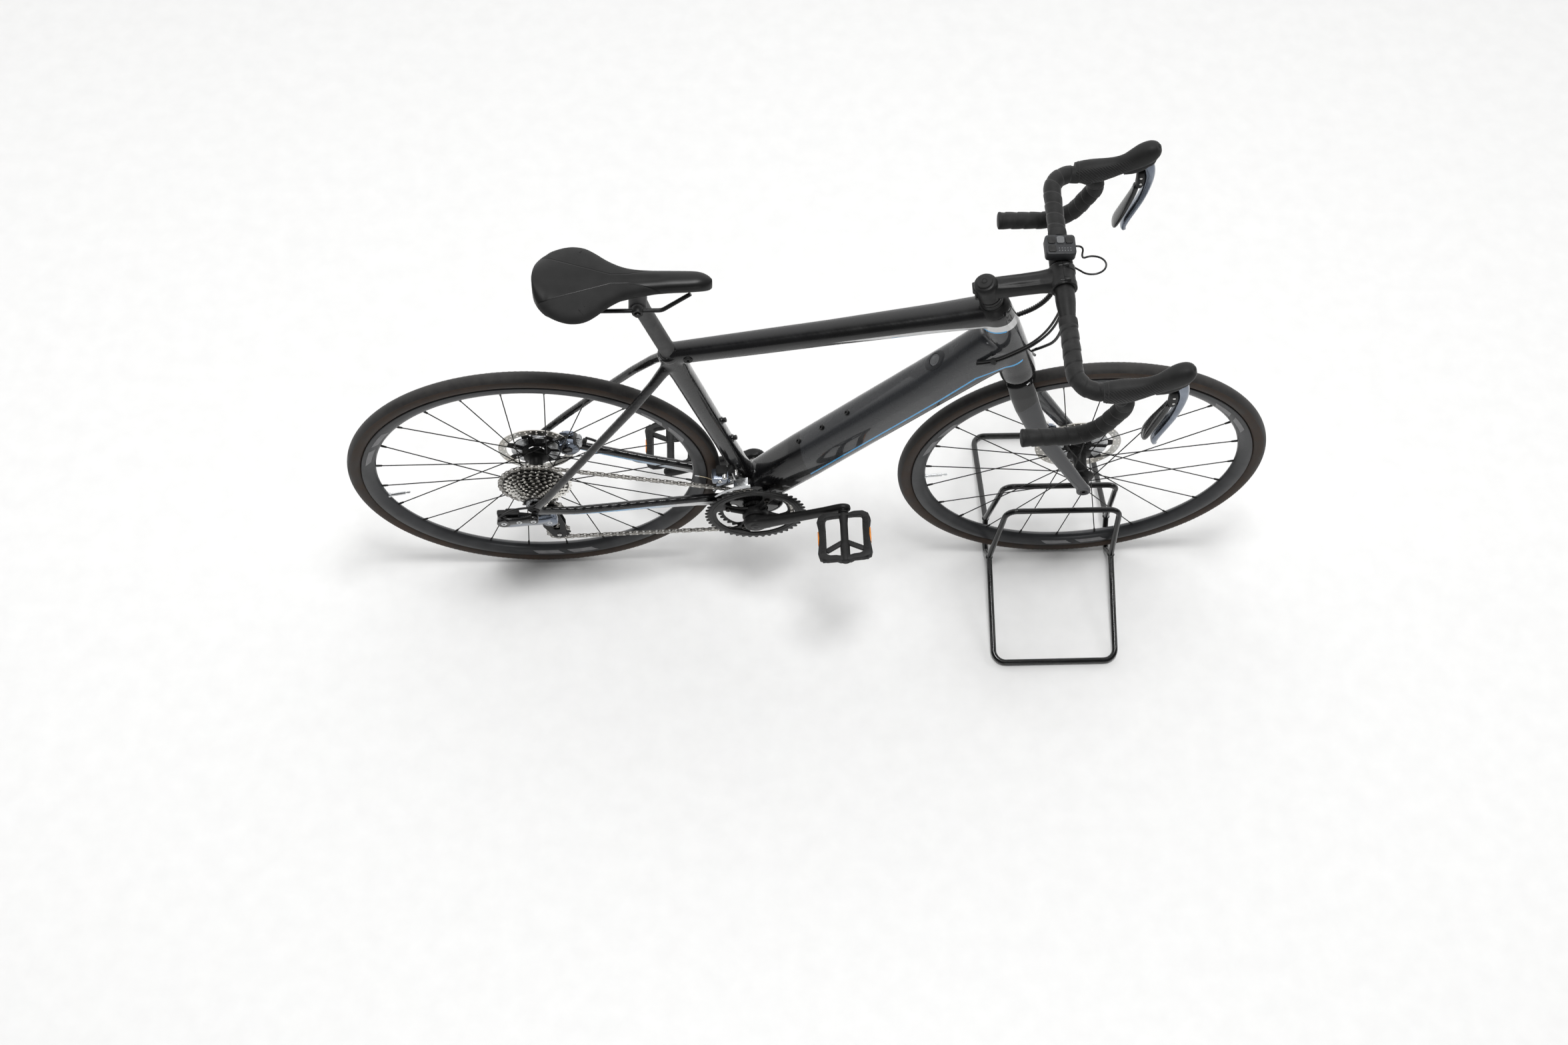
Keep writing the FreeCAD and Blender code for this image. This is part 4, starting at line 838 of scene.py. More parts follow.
def make_tyre(wheel, centre):
    """Tyre skin with a tread and two walls, and a row of stitches on each wall."""
    form = Form()
    limit, steps = 143, 52
    profile, marks = [], []
    for i in range(steps + 1):
        turn = -limit + 2 * limit * i / steps
        ease = 0.25 if 50 < abs(turn) < 56 else 0.0
        bow = TYRE_SECTION - ease
        profile.append((TYRE_CENTRE + bow * math.cos(math.radians(turn)),
                        bow * math.sin(math.radians(turn))))
        marks.append(0 if abs(turn + limit / steps) < 53 else 1)
    inner = [(profile[-1][0] + 1.5, 6.5), (TYRE_CENTRE + 9, 6), (TYRE_CENTRE + 11.5, 0),
             (TYRE_CENTRE + 9, -6), (profile[0][0] + 1.5, -6.5)]
    form.lathe(centre, profile + inner, 220, mark=marks + [1] * len(inner), loop=True)
    make(wheel + "_tyre_skin", form, (TREAD, WALL), wheel + "_wheel",
         cad=(wheel + "_tyre",), sharp=50)
    seam = Form()
    turn = math.radians(STITCH_ANGLE)
    radius = TYRE_CENTRE + (TYRE_SECTION + 0.02) * math.cos(turn)
    out = (TYRE_SECTION + 0.02) * math.sin(turn)
    for side in BOTH_SIDES:
        for i in range(STITCHES):
            place = about(centre, radius, 360 * i / STITCHES, side * out)
            ahead = about(centre, radius, 360 * (i + 0.42) / STITCHES, side * out)
            seam.tube([place, ahead], 0.22, 4)
    make(wheel + "_tyre_stitches", seam, WALL, wheel + "_wheel")


def make_rim(wheel, centre):
    """Deep rim with plain grey blocks where its graphics are."""
    right = [(radius, -side) for radius, side in RIM_PROFILE]
    left = [(radius, side) for radius, side in RIM_PROFILE[-2::-1]]
    form = Form().lathe(centre, right + left, 200, loop=True)
    make(wheel + "_rim_skin", form, RIM_GREY, wheel + "_wheel",
         cad=(wheel + "_rim",), sharp=30)
    marks = Form()
    for side in BOTH_SIDES:
        for start in (25, 145, 265):
            for shift in (0, 13):
                rows = []
                for i in range(9):
                    row = []
                    for radius, lift in ((296.2, 9.62), (301, 11.42), (305.4, 12.08)):
                        lean = (radius - 300) * 0.25
                        row.append(about(centre, radius + 0.1,
                                         start + shift + lean + i * 1.2, side * (lift + 0.12)))
                    rows.append(row)
                marks.rows(rows, closed=False)
    make(wheel + "_rim_marks", marks, RIM_MARK, wheel + "_wheel")


def make_nipples(wheel, centre, start_turn, left_flange, right_flange):
    """A nipple where each spoke enters the rim, a hooked head at the hub, and the valve."""
    form = Form()
    for i in range(SPOKE_COUNT):
        flange = left_flange if i % 2 else right_flange
        lead = 62 if (i // 2) % 2 else -62
        rim_turn = start_turn + 360 * i / SPOKE_COUNT
        hub_end = about(centre, 21, rim_turn + lead, flange)
        rim_end = about(centre, 287.6, rim_turn)
        run = (hub_end - rim_end).normalized()
        form.tube([rim_end - run * 0.001, rim_end + run * 0.004, rim_end + run * 0.0105,
                   rim_end + run * 0.0115], [2.1, 2.1, 1.7, 1.1], 8)
        outer = math.copysign(1, flange)
        form.tube([hub_end + run * 0.001, hub_end + Y_AXIS * outer * 0.0014,
                   hub_end + Y_AXIS * outer * 0.0026], [1.1, 1.6, 0.8], 8)
    make(wheel + "_nipples", form, BLACK_STEEL, wheel + "_wheel")
    turn = start_turn + 7.5 + 180
    root, tip = about(centre, 288.5, turn), about(centre, 246, turn)
    run = (tip - root).normalized()
    valve = Form().tube([root, root + run * 0.003, root + run * 0.0031, root + run * 0.032,
                         root + run * 0.0322, root + run * 0.0365, root + run * 0.037,
                         root + run * 0.042],
                        [4.5, 4.5, 3.0, 3.0, 1.4, 1.4, 2.2, 2.0], 14)
    make(wheel + "_valve", valve, SILVER, wheel + "_wheel")


def holed_ring(form, centre, inner, outer, low, high, cells, hole, hole_at, start=0.0, mark=0):
    """A flat ring with a round hole in each of its cells."""
    wide = 360.0 / cells
    quarter = 4
    around = 4 * quarter
    for cell in range(cells):
        left = start + wide * cell
        border = [(outer, left + wide * i / quarter) for i in range(quarter)]
        border += [(outer + (inner - outer) * i / quarter, left + wide) for i in range(quarter)]
        border += [(inner, left + wide - wide * i / quarter) for i in range(quarter)]
        border += [(inner + (outer - inner) * i / quarter, left) for i in range(quarter)]
        middle = left + wide / 2
        centre_point = about(centre, hole_at, middle)
        rim = []
        for radius, degrees in border:
            way = about(centre, radius, degrees) - centre_point
            rim.append(centre_point + way.normalized() * hole * MM)
        for side in (low, high):
            base = len(form.points)
            form.points.extend(about(centre, radius, degrees, side) for radius, degrees in border)
            form.points.extend(p + Y_AXIS * side * MM for p in rim)
            for i in range(around):
                j = (i + 1) % around
                radii = [border[i][0], border[j][0], hole_at, hole_at]
                form.add_face((base + i, base + j, base + around + j, base + around + i), mark,
                              [(0, r * MM) for r in radii])
        gap = 2 * around
        base = len(form.points) - 2 * gap
        rim_low, rim_high = base + around, base + gap + around
        for i in range(around):
            j = (i + 1) % around
            form.add_face((rim_low + i, rim_low + j, rim_high + j, rim_high + i), mark)
            if i < quarter or 2 * quarter <= i < 3 * quarter:
                form.add_face((base + i, base + j, base + gap + j, base + gap + i), mark)


def make_rotor(wheel, centre, radius, side):
    """Braking ring with two rows of cooling holes, on a finned alloy spider."""
    form = Form()
    holed_ring(form, centre, radius - 7.5, radius, side - 0.9, side + 0.9, 40, 1.9, radius - 4.2)
    holed_ring(form, centre, radius - 15, radius - 7.5, side - 0.9, side + 0.9, 20, 2.3,
               radius - 11, start=4.5)
    make(wheel + "_rotor_band", form, ROTOR, wheel + "_wheel",
         cad=(wheel + "_rotor",), sharp=35)
    arms = 7
    pitch = 360 / arms
    web, fins = Form(), Form()
    lobed, hub = [], []
    for i in range(arms * 12):
        reach = radius - 14.2 if i % 12 < 4 else radius - 24
        lobed.append(about(centre, reach, 360 * i / (arms * 12)))
        hub.append(about(centre, 17, 360 * i / (arms * 12)))
    web.plate(lobed, hub, side - 0.8, side + 0.8)
    web.lathe(centre, [(17, side - 3.2), (24, side - 3.2), (26, side), (24, side + 2.2),
                       (17, side + 2.2)], 64, loop=True)
    for i in range(arms):
        first, last = pitch * i + 3, pitch * i + 43
        outline = [about(centre, 27, first + 9), about(centre, radius - 25, first)]
        outline += [about(centre, radius - 24, first + (last - first) * k / 5) for k in range(1, 5)]
        outline += [about(centre, radius - 25, last), about(centre, 27, last - 3)]
        fins.prism(outline, side + 0.9, side + 2.6)
        fins.prism(outline, side - 2.6, side - 0.9)
    fins.lathe(centre, [(14, side + 2.3), (19.5, side + 2.3), (20, side + 3), (19, side + 4.4),
                        (14, side + 4.4)], 36, loop=True)
    make(wheel + "_rotor_web", web, MATTE_BLACK, wheel + "_wheel", sharp=35)
    make(wheel + "_rotor_fins", fins, SILVER, wheel + "_wheel", bevel=0.35)


FRONT_HUB = [(7, -46), (10.5, -46), (11.5, -44.6), (11.8, -35), (15, -32.6), (21.4, -30.4),
             (22.3, -29.4), (22.3, -26.6), (21.4, -25.6), (16, -23.5), (13, -20), (12, -4),
             (13, 12), (16, 15.5), (21.4, 17.6), (22.3, 18.6), (22.3, 21.4), (21.4, 22.4),
             (16.5, 25), (15.4, 28), (15.4, 36.4), (7, 36.4)]
REAR_HUB = [(7, -20.4), (14, -20.4), (15, -18.4), (21.4, -16.4), (22.3, -15.4), (22.3, -12.6),
            (21.4, -11.6), (16.5, -9), (13.6, -5), (12.6, 10), (13.6, 24), (16.5, 27.4),
            (21.4, 29.6), (22.3, 30.6), (22.3, 33.4), (21.4, 34.4), (16.5, 37), (15.4, 40),
            (15.4, 46.4), (7, 46.4)]
for wheel, centre, start, left, right, disc_radius, disc_side, hub in (
        ("front", FRONT_AXLE, 0, 20, -28, 80, 40, FRONT_HUB),
        ("rear", REAR_AXLE, 7.5, 32, -14, 70, 50, REAR_HUB)):
    make_tyre(wheel, centre)
    make_rim(wheel, centre)
    make_nipples(wheel, centre, start, left, right)
    make_rotor(wheel, centre, disc_radius, disc_side)
    make(wheel + "_hub_shell", Form().lathe(centre, hub, 72, loop=True), SATIN_BLACK,
         wheel + "_wheel", cad=(wheel + "_hub",), sharp=38)


# ---- fork, headset, stem and bar ----

def fork_paint():
    """Black lacquer on the crown, dark grey below a slanting edge."""
    material = new_material("fork_paint", coat=0.9, coat_roughness=0.04)
    place = place_of(material)
    edge_at = CROWN - STEER * 0.062
    slant = (STEER_FRONT + STEER * 0.55).normalized()
    line = side_of(material, place, edge_at, edge_at + slant * 0.1)
    speckle = mixed(material, noise_of(material, 900, 2.0, place), (0.030, 0.031, 0.034),
                    (0.048, 0.05, 0.055))
    plug(material, "Base Color", mixed(material, step(material, line), speckle, (0.005,) * 3))
    plug(material, "Roughness", spread(material, line, -0.001, 0.001, 0.42, 0.22))
    bumped(material, noise_of(material, 260, 2.0, place), 0.25, 0.00006)
    return material


def melted(size, rounds):
    """A change that melts a form's overlapping shells into one soft skin."""
    def change(piece):
        net = piece.modifiers.new("net", "REMESH")
        net.mode = "VOXEL"
        net.voxel_size = size * MM
        soften = piece.modifiers.new("soften", "SMOOTH")
        soften.factor = 0.5
        soften.iterations = rounds
        bake_modifiers(piece)
    return change


def on_steerer(up, ahead=0.0, side=0.0):
    return CROWN + STEER * up * MM + STEER_FRONT * ahead * MM + Y_AXIS * side * MM


def make_fork():
    """One-piece fork shell, steerer, headset cover and spacers."""
    form = Form()
    form.lathe(CROWN, [(24, -32), (27.4, -20), (28.2, -6), (28, -0.6), (20, -0.6), (15, -0.6)], 56,
               axis=STEER, caps=BOTH_ENDS)
    form.rows([oval(on_steerer(-30, s, 0), 30, 17, STEER_FRONT, 2.6, 40) for s in (-17, 0, 17)],
              caps=BOTH_ENDS)
    for side in BOTH_SIDES:
        path = [(on_steerer(-4, 0, side * 21), 11, 23), (on_steerer(-34, 0, side * 27.5), 10.5, 23.5),
                (on_steerer(-70, 0.5, side * 33.5), 9.6, 22.5),
                (on_steerer(-150, 6, side * 43), 8.8, 18),
                (on_steerer(-250, 26, side * 49.6), 7.4, 14.4),
                (on_steerer(-325, 41.5, side * 54.4), 6.2, 12.6),
                (FRONT_AXLE + Y_AXIS * side * 56 * MM + STEER * 8 * MM, 5.6, 12.4)]
        form.rows([oval(c, a, b, STEER, 2.4, 32) for c, a, b in path], caps=BOTH_ENDS)
        form.lathe(FRONT_AXLE, [(7, side * 50.4), (12.6, side * 50.4), (13.4, side * 51.4),
                                (13.4, side * 60.8), (12.6, side * 61.8), (7, side * 61.8)], 40,
                   loop=True)
    make("fork_shell", form, fork_paint(), "front_end", cad=("fork",), sharp=180,
         change=melted(1.8, 5))
    steerer = Form().lathe(CROWN, [(14.3, -0.6), (14.3, 276.5), (11.8, 276.5), (11.8, -0.6)], 48,
                           axis=STEER, loop=True)
    make("steerer", steerer, MATTE_BLACK, "front_end")
    cover = [(22.5, 208.5), (26.4, 208.5), (27.2, 209.4), (27.0, 211.4), (25.6, 215), (22.6, 220.5),
             (20.2, 223.6), (19.6, 224.0), (15, 224.0)]
    rings = Form().lathe(CROWN, cover, 64, axis=STEER, caps=BOTH_ENDS)
    for low, high in ((224.3, 233.8), (234.2, 240.9)):
        rings.lathe(CROWN, [(14.5, low), (18.6, low), (19.1, low + 0.6), (19.1, high - 0.6),
                            (18.6, high), (14.5, high)], 56, axis=STEER, loop=True)
    make("headset_rings", rings, SATIN_BLACK, "front_end", cad=("headset",), sharp=30)


def make_stem():
    """Stem with a sculpted top, an inset cap over the steerer and a bolted faceplate."""
    front = spot(880, 0, 938)
    root = on_steerer(259)
    run = (front - root).normalized()
    up = Vector((-run.z, 0, run.x))
    form = Form()
    form.lathe(CROWN, [(15, 241.6), (18.4, 241.6), (19.5, 243), (19.5, 272), (18.6, 276), (16, 279),
                       (10, 280.4), (0.5, 280.8)], 64, axis=STEER, caps=BOTH_ENDS)
    length = (front - root).length / MM
    rows = []
    for share, wide, tall in ((0.04, 15.5, 17), (0.2, 16, 16.4), (0.45, 16.2, 15.6), (0.7, 17, 15.4),
                              (0.86, 19.5, 16.4), (0.97, 21, 17)):
        centre = root + run * share * length * MM
        ring = []
        dip = 1.9 * math.sin(math.pi * min(1, max(0, (share - 0.1) / 0.8)))
        for turn in turns(48):
            a, b = math.cos(turn), math.sin(turn)
            x = wide * math.copysign(abs(a) ** 0.72, a)
            z = tall * math.copysign(abs(b) ** 0.72, b)
            groove = math.exp(-((abs(x) - 8.5) / 2.4) ** 2) * dip
            ring.append(centre + Y_AXIS * x * MM + up * (z - math.copysign(groove, b)) * MM)
        rows.append(ring)
    form.rows(rows, caps=BOTH_ENDS)
    form.lathe(front, [(15.9, -21), (20.4, -21), (21.2, -20), (21.2, 20), (20.4, 21), (15.9, 21)], 64,
               loop=True)
    half = Matrix((run, Y_AXIS, up)).transposed()

    def keep_back(piece):
        melted(1.15, 3)(piece)
        cutter = Form()
        box = [half @ Vector((x, 0, z)) * MM + front for x, z in ((2, -40), (60, -40), (60, 40), (2, 40))]
        cutter.prism(box, -40, 40)
        bore = Form().lathe(front, [(15.75, -30), (15.75, 30)], 64, caps=BOTH_ENDS)
        for shape, name in ((cutter, "split"), (bore, "bore")):
            mesh = bpy.data.meshes.new(name)
            mesh.from_pydata(shape.points, [], shape.faces)
            tidy = bmesh.new()
            tidy.from_mesh(mesh)
            bmesh.ops.recalc_face_normals(tidy, faces=tidy.faces)
            tidy.to_mesh(mesh)
            tidy.free()
            item = bpy.data.objects.new(name, mesh)
            bpy.context.scene.collection.objects.link(item)
            press = piece.modifiers.new(name, "BOOLEAN")
            press.operation = "DIFFERENCE"
            press.object = item
            bake_modifiers(piece)
            bpy.data.objects.remove(item)

    make("stem_body", form, SATIN_BLACK, "front_end", cad=("stem",), sharp=48,
         change=keep_back)
    face = Form()
    rows = []
    for side, reach in ((-20.4, 20.4), (-19.6, 21.3), (-9, 21.3), (-8, 20.2), (8, 20.2), (9, 21.3),
                        (19.6, 21.3), (20.4, 20.4)):
        ring = []
        for i in range(25):
            turn = math.radians(-84 + 168 * i / 24)
            ring.append(front + (run * math.cos(turn) + up * math.sin(turn)) * reach * MM +
                        Y_AXIS * side * MM)
        for i in range(25):
            turn = math.radians(84 - 168 * i / 24)
            ring.append(front + (run * math.cos(turn) + up * math.sin(turn)) * 15.95 * MM +
                        Y_AXIS * side * MM)
        rows.append(ring)
    face.rows(rows, caps=BOTH_ENDS)
    bolts = Form()
    for side in BOTH_SIDES:
        for rise in BOTH_SIDES:
            seat = front + up * rise * 19.3 * MM + Y_AXIS * side * 14 * MM
            face.lathe(seat, [(4.6, 2.4), (4.6, 10.5), (3.2, 10.5), (3.2, 2.4)], 20, axis=run, loop=True)
            bolts.lathe(seat, [(0.4, -4), (2.5, -4), (2.5, 8), (3.9, 8.1), (4.1, 8.6), (4.1, 11.6),
                               (3.7, 12.2), (2.0, 12.2), (2.0, 9.4), (0.4, 9.4)], 18, axis=run,
                        caps=BOTH_ENDS)
    make("stem_face", face, SATIN_BLACK, "front_end", cad=("stem_faceplate",), bevel=0.3)
    make("stem_bolts", bolts, BLACK_STEEL, "front_end", sharp=30)
    cap = Form().lathe(CROWN, [(0.4, 284.2), (3.2, 284.2), (3.4, 283), (3.6, 284.6), (4.4, 284.6),
                               (4.8, 283.6), (11.6, 283.0), (12.6, 282.2), (12.8, 280.6),
                               (0.4, 280.6)], 40, axis=STEER, caps=BOTH_ENDS)
    make("stem_cap", cap, MATTE_BLACK, "front_end", sharp=30)
    clamp = Form()
    for rise in (250, 268):
        clamp.lathe(on_steerer(rise, -19.2), [(0.4, -9), (3.0, -9), (3.4, -8), (3.4, 9), (3.0, 10),
                                              (1.9, 10), (1.9, 7), (0.4, 7)], 18, caps=BOTH_ENDS)
    make("stem_pinch_bolts", clamp, BLACK_STEEL, "front_end", sharp=30)


BAR_BENDS = (38, 36, 66)


def bar_points(side):
    return [spot(880, side * 78, 938), spot(880, side * 206, 938), spot(978, side * 210, 932),
            spot(926, side * 210, 808), spot(814, side * 212, 806)]


def make_bar():
    """Bare middle of the bar, wound tape with visible laps, and a plug in each end."""
    centre = spot(880, 0, 938)
    half = [(15.9, 0), (15.9, 40), (15.6, 46), (12.5, 74), (11.9, 80)]
    profile = [(r, -s) for r, s in half[::-1]] + [(r, s) for r, s in half[1:]]
    shell = Form().lathe(centre, profile + [(9.9, 80), (9.9, -80)], 64, loop=True)
    for side in BOTH_SIDES:
        line = bent_line(bar_points(side), BAR_BENDS, 4)
        shell.tube(line, 11.6, 24)
    make("bar_tube", shell, SATIN_BLACK, "front_end", cad=("handlebar",), sharp=40)
    tape, ends = Form(), Form()
    pitch, sides = 21.0, 56
    for side in BOTH_SIDES:
        line = bent_line(bar_points(side), BAR_BENDS, 1.1)
        places = carried(line)
        rows, length = [], 0.0
        for i, (place, across, up) in enumerate(places):
            if i:
                length += (place - places[i - 1][0]).length / MM
            row = []
            for j, turn in enumerate(turns(sides)):
                phase = (length / pitch + side * j / sides) % 1.0
                lap = 0.95 * min(1.0, phase / 0.9) if phase < 0.94 else 0.95 * (1 - phase) / 0.06
                puff = 0.35 * math.sin(math.pi * phase) + 0.12 * math.sin(turn * 3 + length * 0.21)
                row.append(place + (across * math.cos(turn) + up * math.sin(turn)) *
                           (13.7 + lap + puff) * MM)
            rows.append(row)
        tape.rows(rows, caps=BOTH_ENDS)
        tip, inward = line[-1], (line[-4] - line[-1]).normalized()
        ends.lathe(tip, [(14.6, 2.5), (14.9, 0.5), (14.2, -1.6), (11, -2.6), (4, -2.9), (0.4, -2.4)],
                   40, axis=inward, caps=BOTH_ENDS)
        start = line[0]
        ends.lathe(start, [(12.2, -1.5), (14.7, -1.2), (15.1, 1), (15.1, 12), (14.6, 13.4)], 48,
                   axis=Y_AXIS * side, caps=())
    make("tape_wound", tape, TAPE, "front_end", cad=("bar_tape",), sharp=70)
    make("tape_ends", ends, MATTE_BLACK, "front_end", sharp=35)


make_fork()
make_stem()
make_bar()


# ---- hoods, levers and the bar remote ----

def loft(form, stations, normal, power=2.2, count=32, mark=0, steps=3):
    """A smooth loft through (place, half width, half height) stations."""
    places = smooth_line([s[0] for s in stations], steps)
    sizes = smooth_line([Vector((s[1], s[2], 0)) for s in stations], steps)
    last = len(places) - 1
    rows = []
    for i, (place, size) in enumerate(zip(places, sizes)):
        heading = (places[min(i + 1, last)] - places[max(i - 1, 0)]).normalized()
        rows.append(oval(place, size.x, size.y, heading if normal is None else normal, power, count))
    first_row, last_row = rows[0], rows[-1]
    for row, place, at_start in ((first_row, places[0], True), (last_row, places[-1], False)):
        heading = (places[1] - places[0]) if at_start else (places[-1] - places[-2])
        reach = heading.normalized() * 0.0012 * (-1 if at_start else 1)
        cap = [place + (p - place) * 0.72 + reach for p in row]
        rows.insert(0, cap) if at_start else rows.append(cap)
    form.rows(rows, mark=mark, caps=BOTH_ENDS)
    return form


def cross_pins(places, radius, half):
    """Pins across the bicycle through places, with eased ends."""
    form = Form()
    for place in places:
        form.lathe(place, [(0.4, -half), (radius - 0.3, -half), (radius, 0.4 - half),
                           (radius, half - 0.4), (radius - 0.3, half), (0.4, half)], 16,
                   caps=BOTH_ENDS)
    return form


def make_controls(side):
    """Hood, lip, bracket and lever of one side, with the shift paddle hung behind the lever."""
    name = SIDE_NAMES[side]
    y = side * 210
    hood = Form()
    stations = [(spot(921, y, 938), 14.8, 16.4), (spot(936, y, 939), 16.6, 20.0),
                (spot(956, y, 942), 16.8, 21.0), (spot(975, y, 948), 14.8, 18.4),
                (spot(991, y, 955), 13.0, 16.4), (spot(1005, y, 963), 13.0, 16.6),
                (spot(1018, y, 974), 14.8, 18.6), (spot(1030, y, 986), 15.8, 19.4),
                (spot(1040, y, 996), 14.4, 15.6), (spot(1046, y, 1002), 10.0, 9.6),
                (spot(1048, y, 1004), 4.5, 4.0)]
    loft(hood, stations, None, 2.35, 44, steps=5)
    make("hood_cover_" + name, hood, HOOD, "front_end", cad=("hood_" + name,),
         sharp=60)
    lip = Form().tube(oval(spot(926, y, 938.6), 15.3, 17.0, X_AXIS, 2.3, 48), 1.1, 8, loop=True)
    make("hood_lip_" + name, lip, RUBBER, "front_end")
    bracket = Form()
    loft(bracket, [(spot(1000, y, 944), 8.4, 7), (spot(1018, y, 950), 8.6, 10),
                   (spot(1036, y, 966), 8.6, 11), (spot(1042, y, 978), 7.4, 8)], None, 2.8, 28)
    bracket.lathe(spot(1030, y, 964), [(0.4, -9.2), (3.4, -9.2), (3.8, -8.6), (3.8, 8.6), (3.4, 9.2),
                                       (0.4, 9.2)], 20, caps=BOTH_ENDS)
    make("lever_bracket_" + name, bracket, PLASTIC, "front_end", sharp=50)
    lever = Form()
    blade = [(spot(1033, y, 968), 7.4, 8.6), (spot(1041, y, 952), 8.8, 9.4),
             (spot(1046, y, 930), 9.2, 8.0), (spot(1046, y, 900), 9.4, 6.8),
             (spot(1042, y, 868), 9.6, 6.0), (spot(1035, y, 838), 9.6, 5.6),
             (spot(1029, y, 812), 9.2, 5.4), (spot(1027, y, 796), 8.4, 5.2),
             (spot(1029, y, 787), 6.8, 4.4), (spot(1032, y, 783), 3.6, 2.6)]
    loft(lever, blade, None, 2.6, 28, steps=5)
    make("lever_blade_" + name, lever, BLUE_GREY, "brake_lever_" + name,
         cad=("brake_lever_" + name,), sharp=50)
    pins = cross_pins((spot(1043, y, 944), spot(1046, y, 914)), 1.9, 8.6)
    make("lever_pins_" + name, pins, STEEL, "brake_lever_" + name)
    block = Form()
    loft(block, [(spot(1030, y, 941), 7.0, 5.0), (spot(1031, y, 934), 8.4, 7.0),
                 (spot(1033, y, 920), 8.6, 7.6), (spot(1033, y, 906), 8.0, 6.4),
                 (spot(1033, y, 901), 6.0, 4.6)], None, 2.8, 28, steps=4)
    make("paddle_mount_" + name, block, PLASTIC, "brake_lever_" + name, sharp=50)
    screws = cross_pins((spot(1031, y, 930), spot(1033, y, 915)), 2.4, 8.9)
    make("paddle_screws_" + name, screws, STEEL, "brake_lever_" + name)
    paddle = Form()
    loft(paddle, [(spot(1029, y, 902), 6.4, 4.6), (spot(1027, y - side, 886), 8.4, 4.8),
                  (spot(1022, y - side * 2, 862), 10.8, 4.8), (spot(1016, y - side * 3, 836), 13.0, 4.6),
                  (spot(1011, y - side * 3, 814), 13.4, 4.2), (spot(1009, y - side * 3, 803), 10.6, 3.4),
                  (spot(1008, y - side * 3, 799), 6.0, 2.2)], None, 2.7, 28, steps=5)
    make("paddle_blade_" + name, paddle, GLOSS_BLACK, "shift_paddle_" + name,
         cad=("shift_paddle_" + name,), sharp=50)


def make_remote():
    """Remote unit with four keys and a field of dots, strapped to the bar left of the stem."""
    centre = spot(880, 0, 938)
    strap = Form().lathe(centre, [(16.0, 24), (18.2, 24), (18.8, 25), (18.8, 39), (18.2, 40),
                                  (16.0, 40)], 56, loop=True)
    make("remote_strap", strap, RUBBER, "front_end", sharp=35)
    shell = Form()
    rounded_box(shell, spot(851, 22.5, 956.6), spot(899, 59.5, 975.4), 5.5, steps=5)
    make("remote_shell", shell, GREY_PLASTIC, "front_end", cad=("bar_remote",),
         bevel=1.8, sharp=30)
    keys = Form()
    for low_x, low_y in ((855, 42), (883, 42), (855, 26)):
        rounded_box(keys, spot(low_x, low_y, 974.8), spot(low_x + 12, low_y + 13, 977.4), 3.0, steps=4)
    make("remote_keys", keys, PLASTIC, "front_end", bevel=0.6)
    middle = Form()
    rounded_box(middle, spot(869, 42, 974.8), spot(881, 55, 977.8), 3.0, steps=4)
    make("remote_middle_key", middle, LIGHT_GREY, "front_end", bevel=0.6)
    dots = Form()
    for i in range(5):
        for j in range(2):
            place = spot(872 + 4.5 * i, 29 + 4.6 * j, 975.1)
            dots.lathe(place, [(0.1, 0.7), (0.9, 0.6), (1.3, 0.0)], 10, axis=Z_AXIS, caps=BOTH_ENDS)
    make("remote_dots", dots, LIGHT_GREY, "front_end")


for side in BOTH_SIDES:
    make_controls(side)
make_remote()


# ---- cables: each a smooth spline through the points of its route ----

def spline_line(points, order=3):
    """Points read from a NURBS spline that ends on its first and last points."""
    curve = bpy.data.curves.new("route", "CURVE")
    curve.dimensions = "3D"
    spline = curve.splines.new("NURBS")
    spline.points.add(len(points) - 1)
    for item, place in zip(spline.points, points):
        item.co = (*place, 1)
    spline.order_u = order
    spline.use_endpoint_u = True
    curve.resolution_u = 10
    item = bpy.data.objects.new("route", curve)
    bpy.context.scene.collection.objects.link(item)
    view = bpy.context.evaluated_depsgraph_get()
    mesh = bpy.data.meshes.new_from_object(item.evaluated_get(view))
    line = [v.co.copy() for v in mesh.vertices]
    bpy.data.objects.remove(item)
    bpy.data.meshes.remove(mesh)
    return line


def blended(name, form, material, cad=()):
    """A piece that runs between the front end and the frame, taken off every body."""
    piece = make(name, form, material, "frame", cad=cad, sharp=60)
    piece.parent = None
    del piece["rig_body"]
    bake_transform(piece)
    return piece


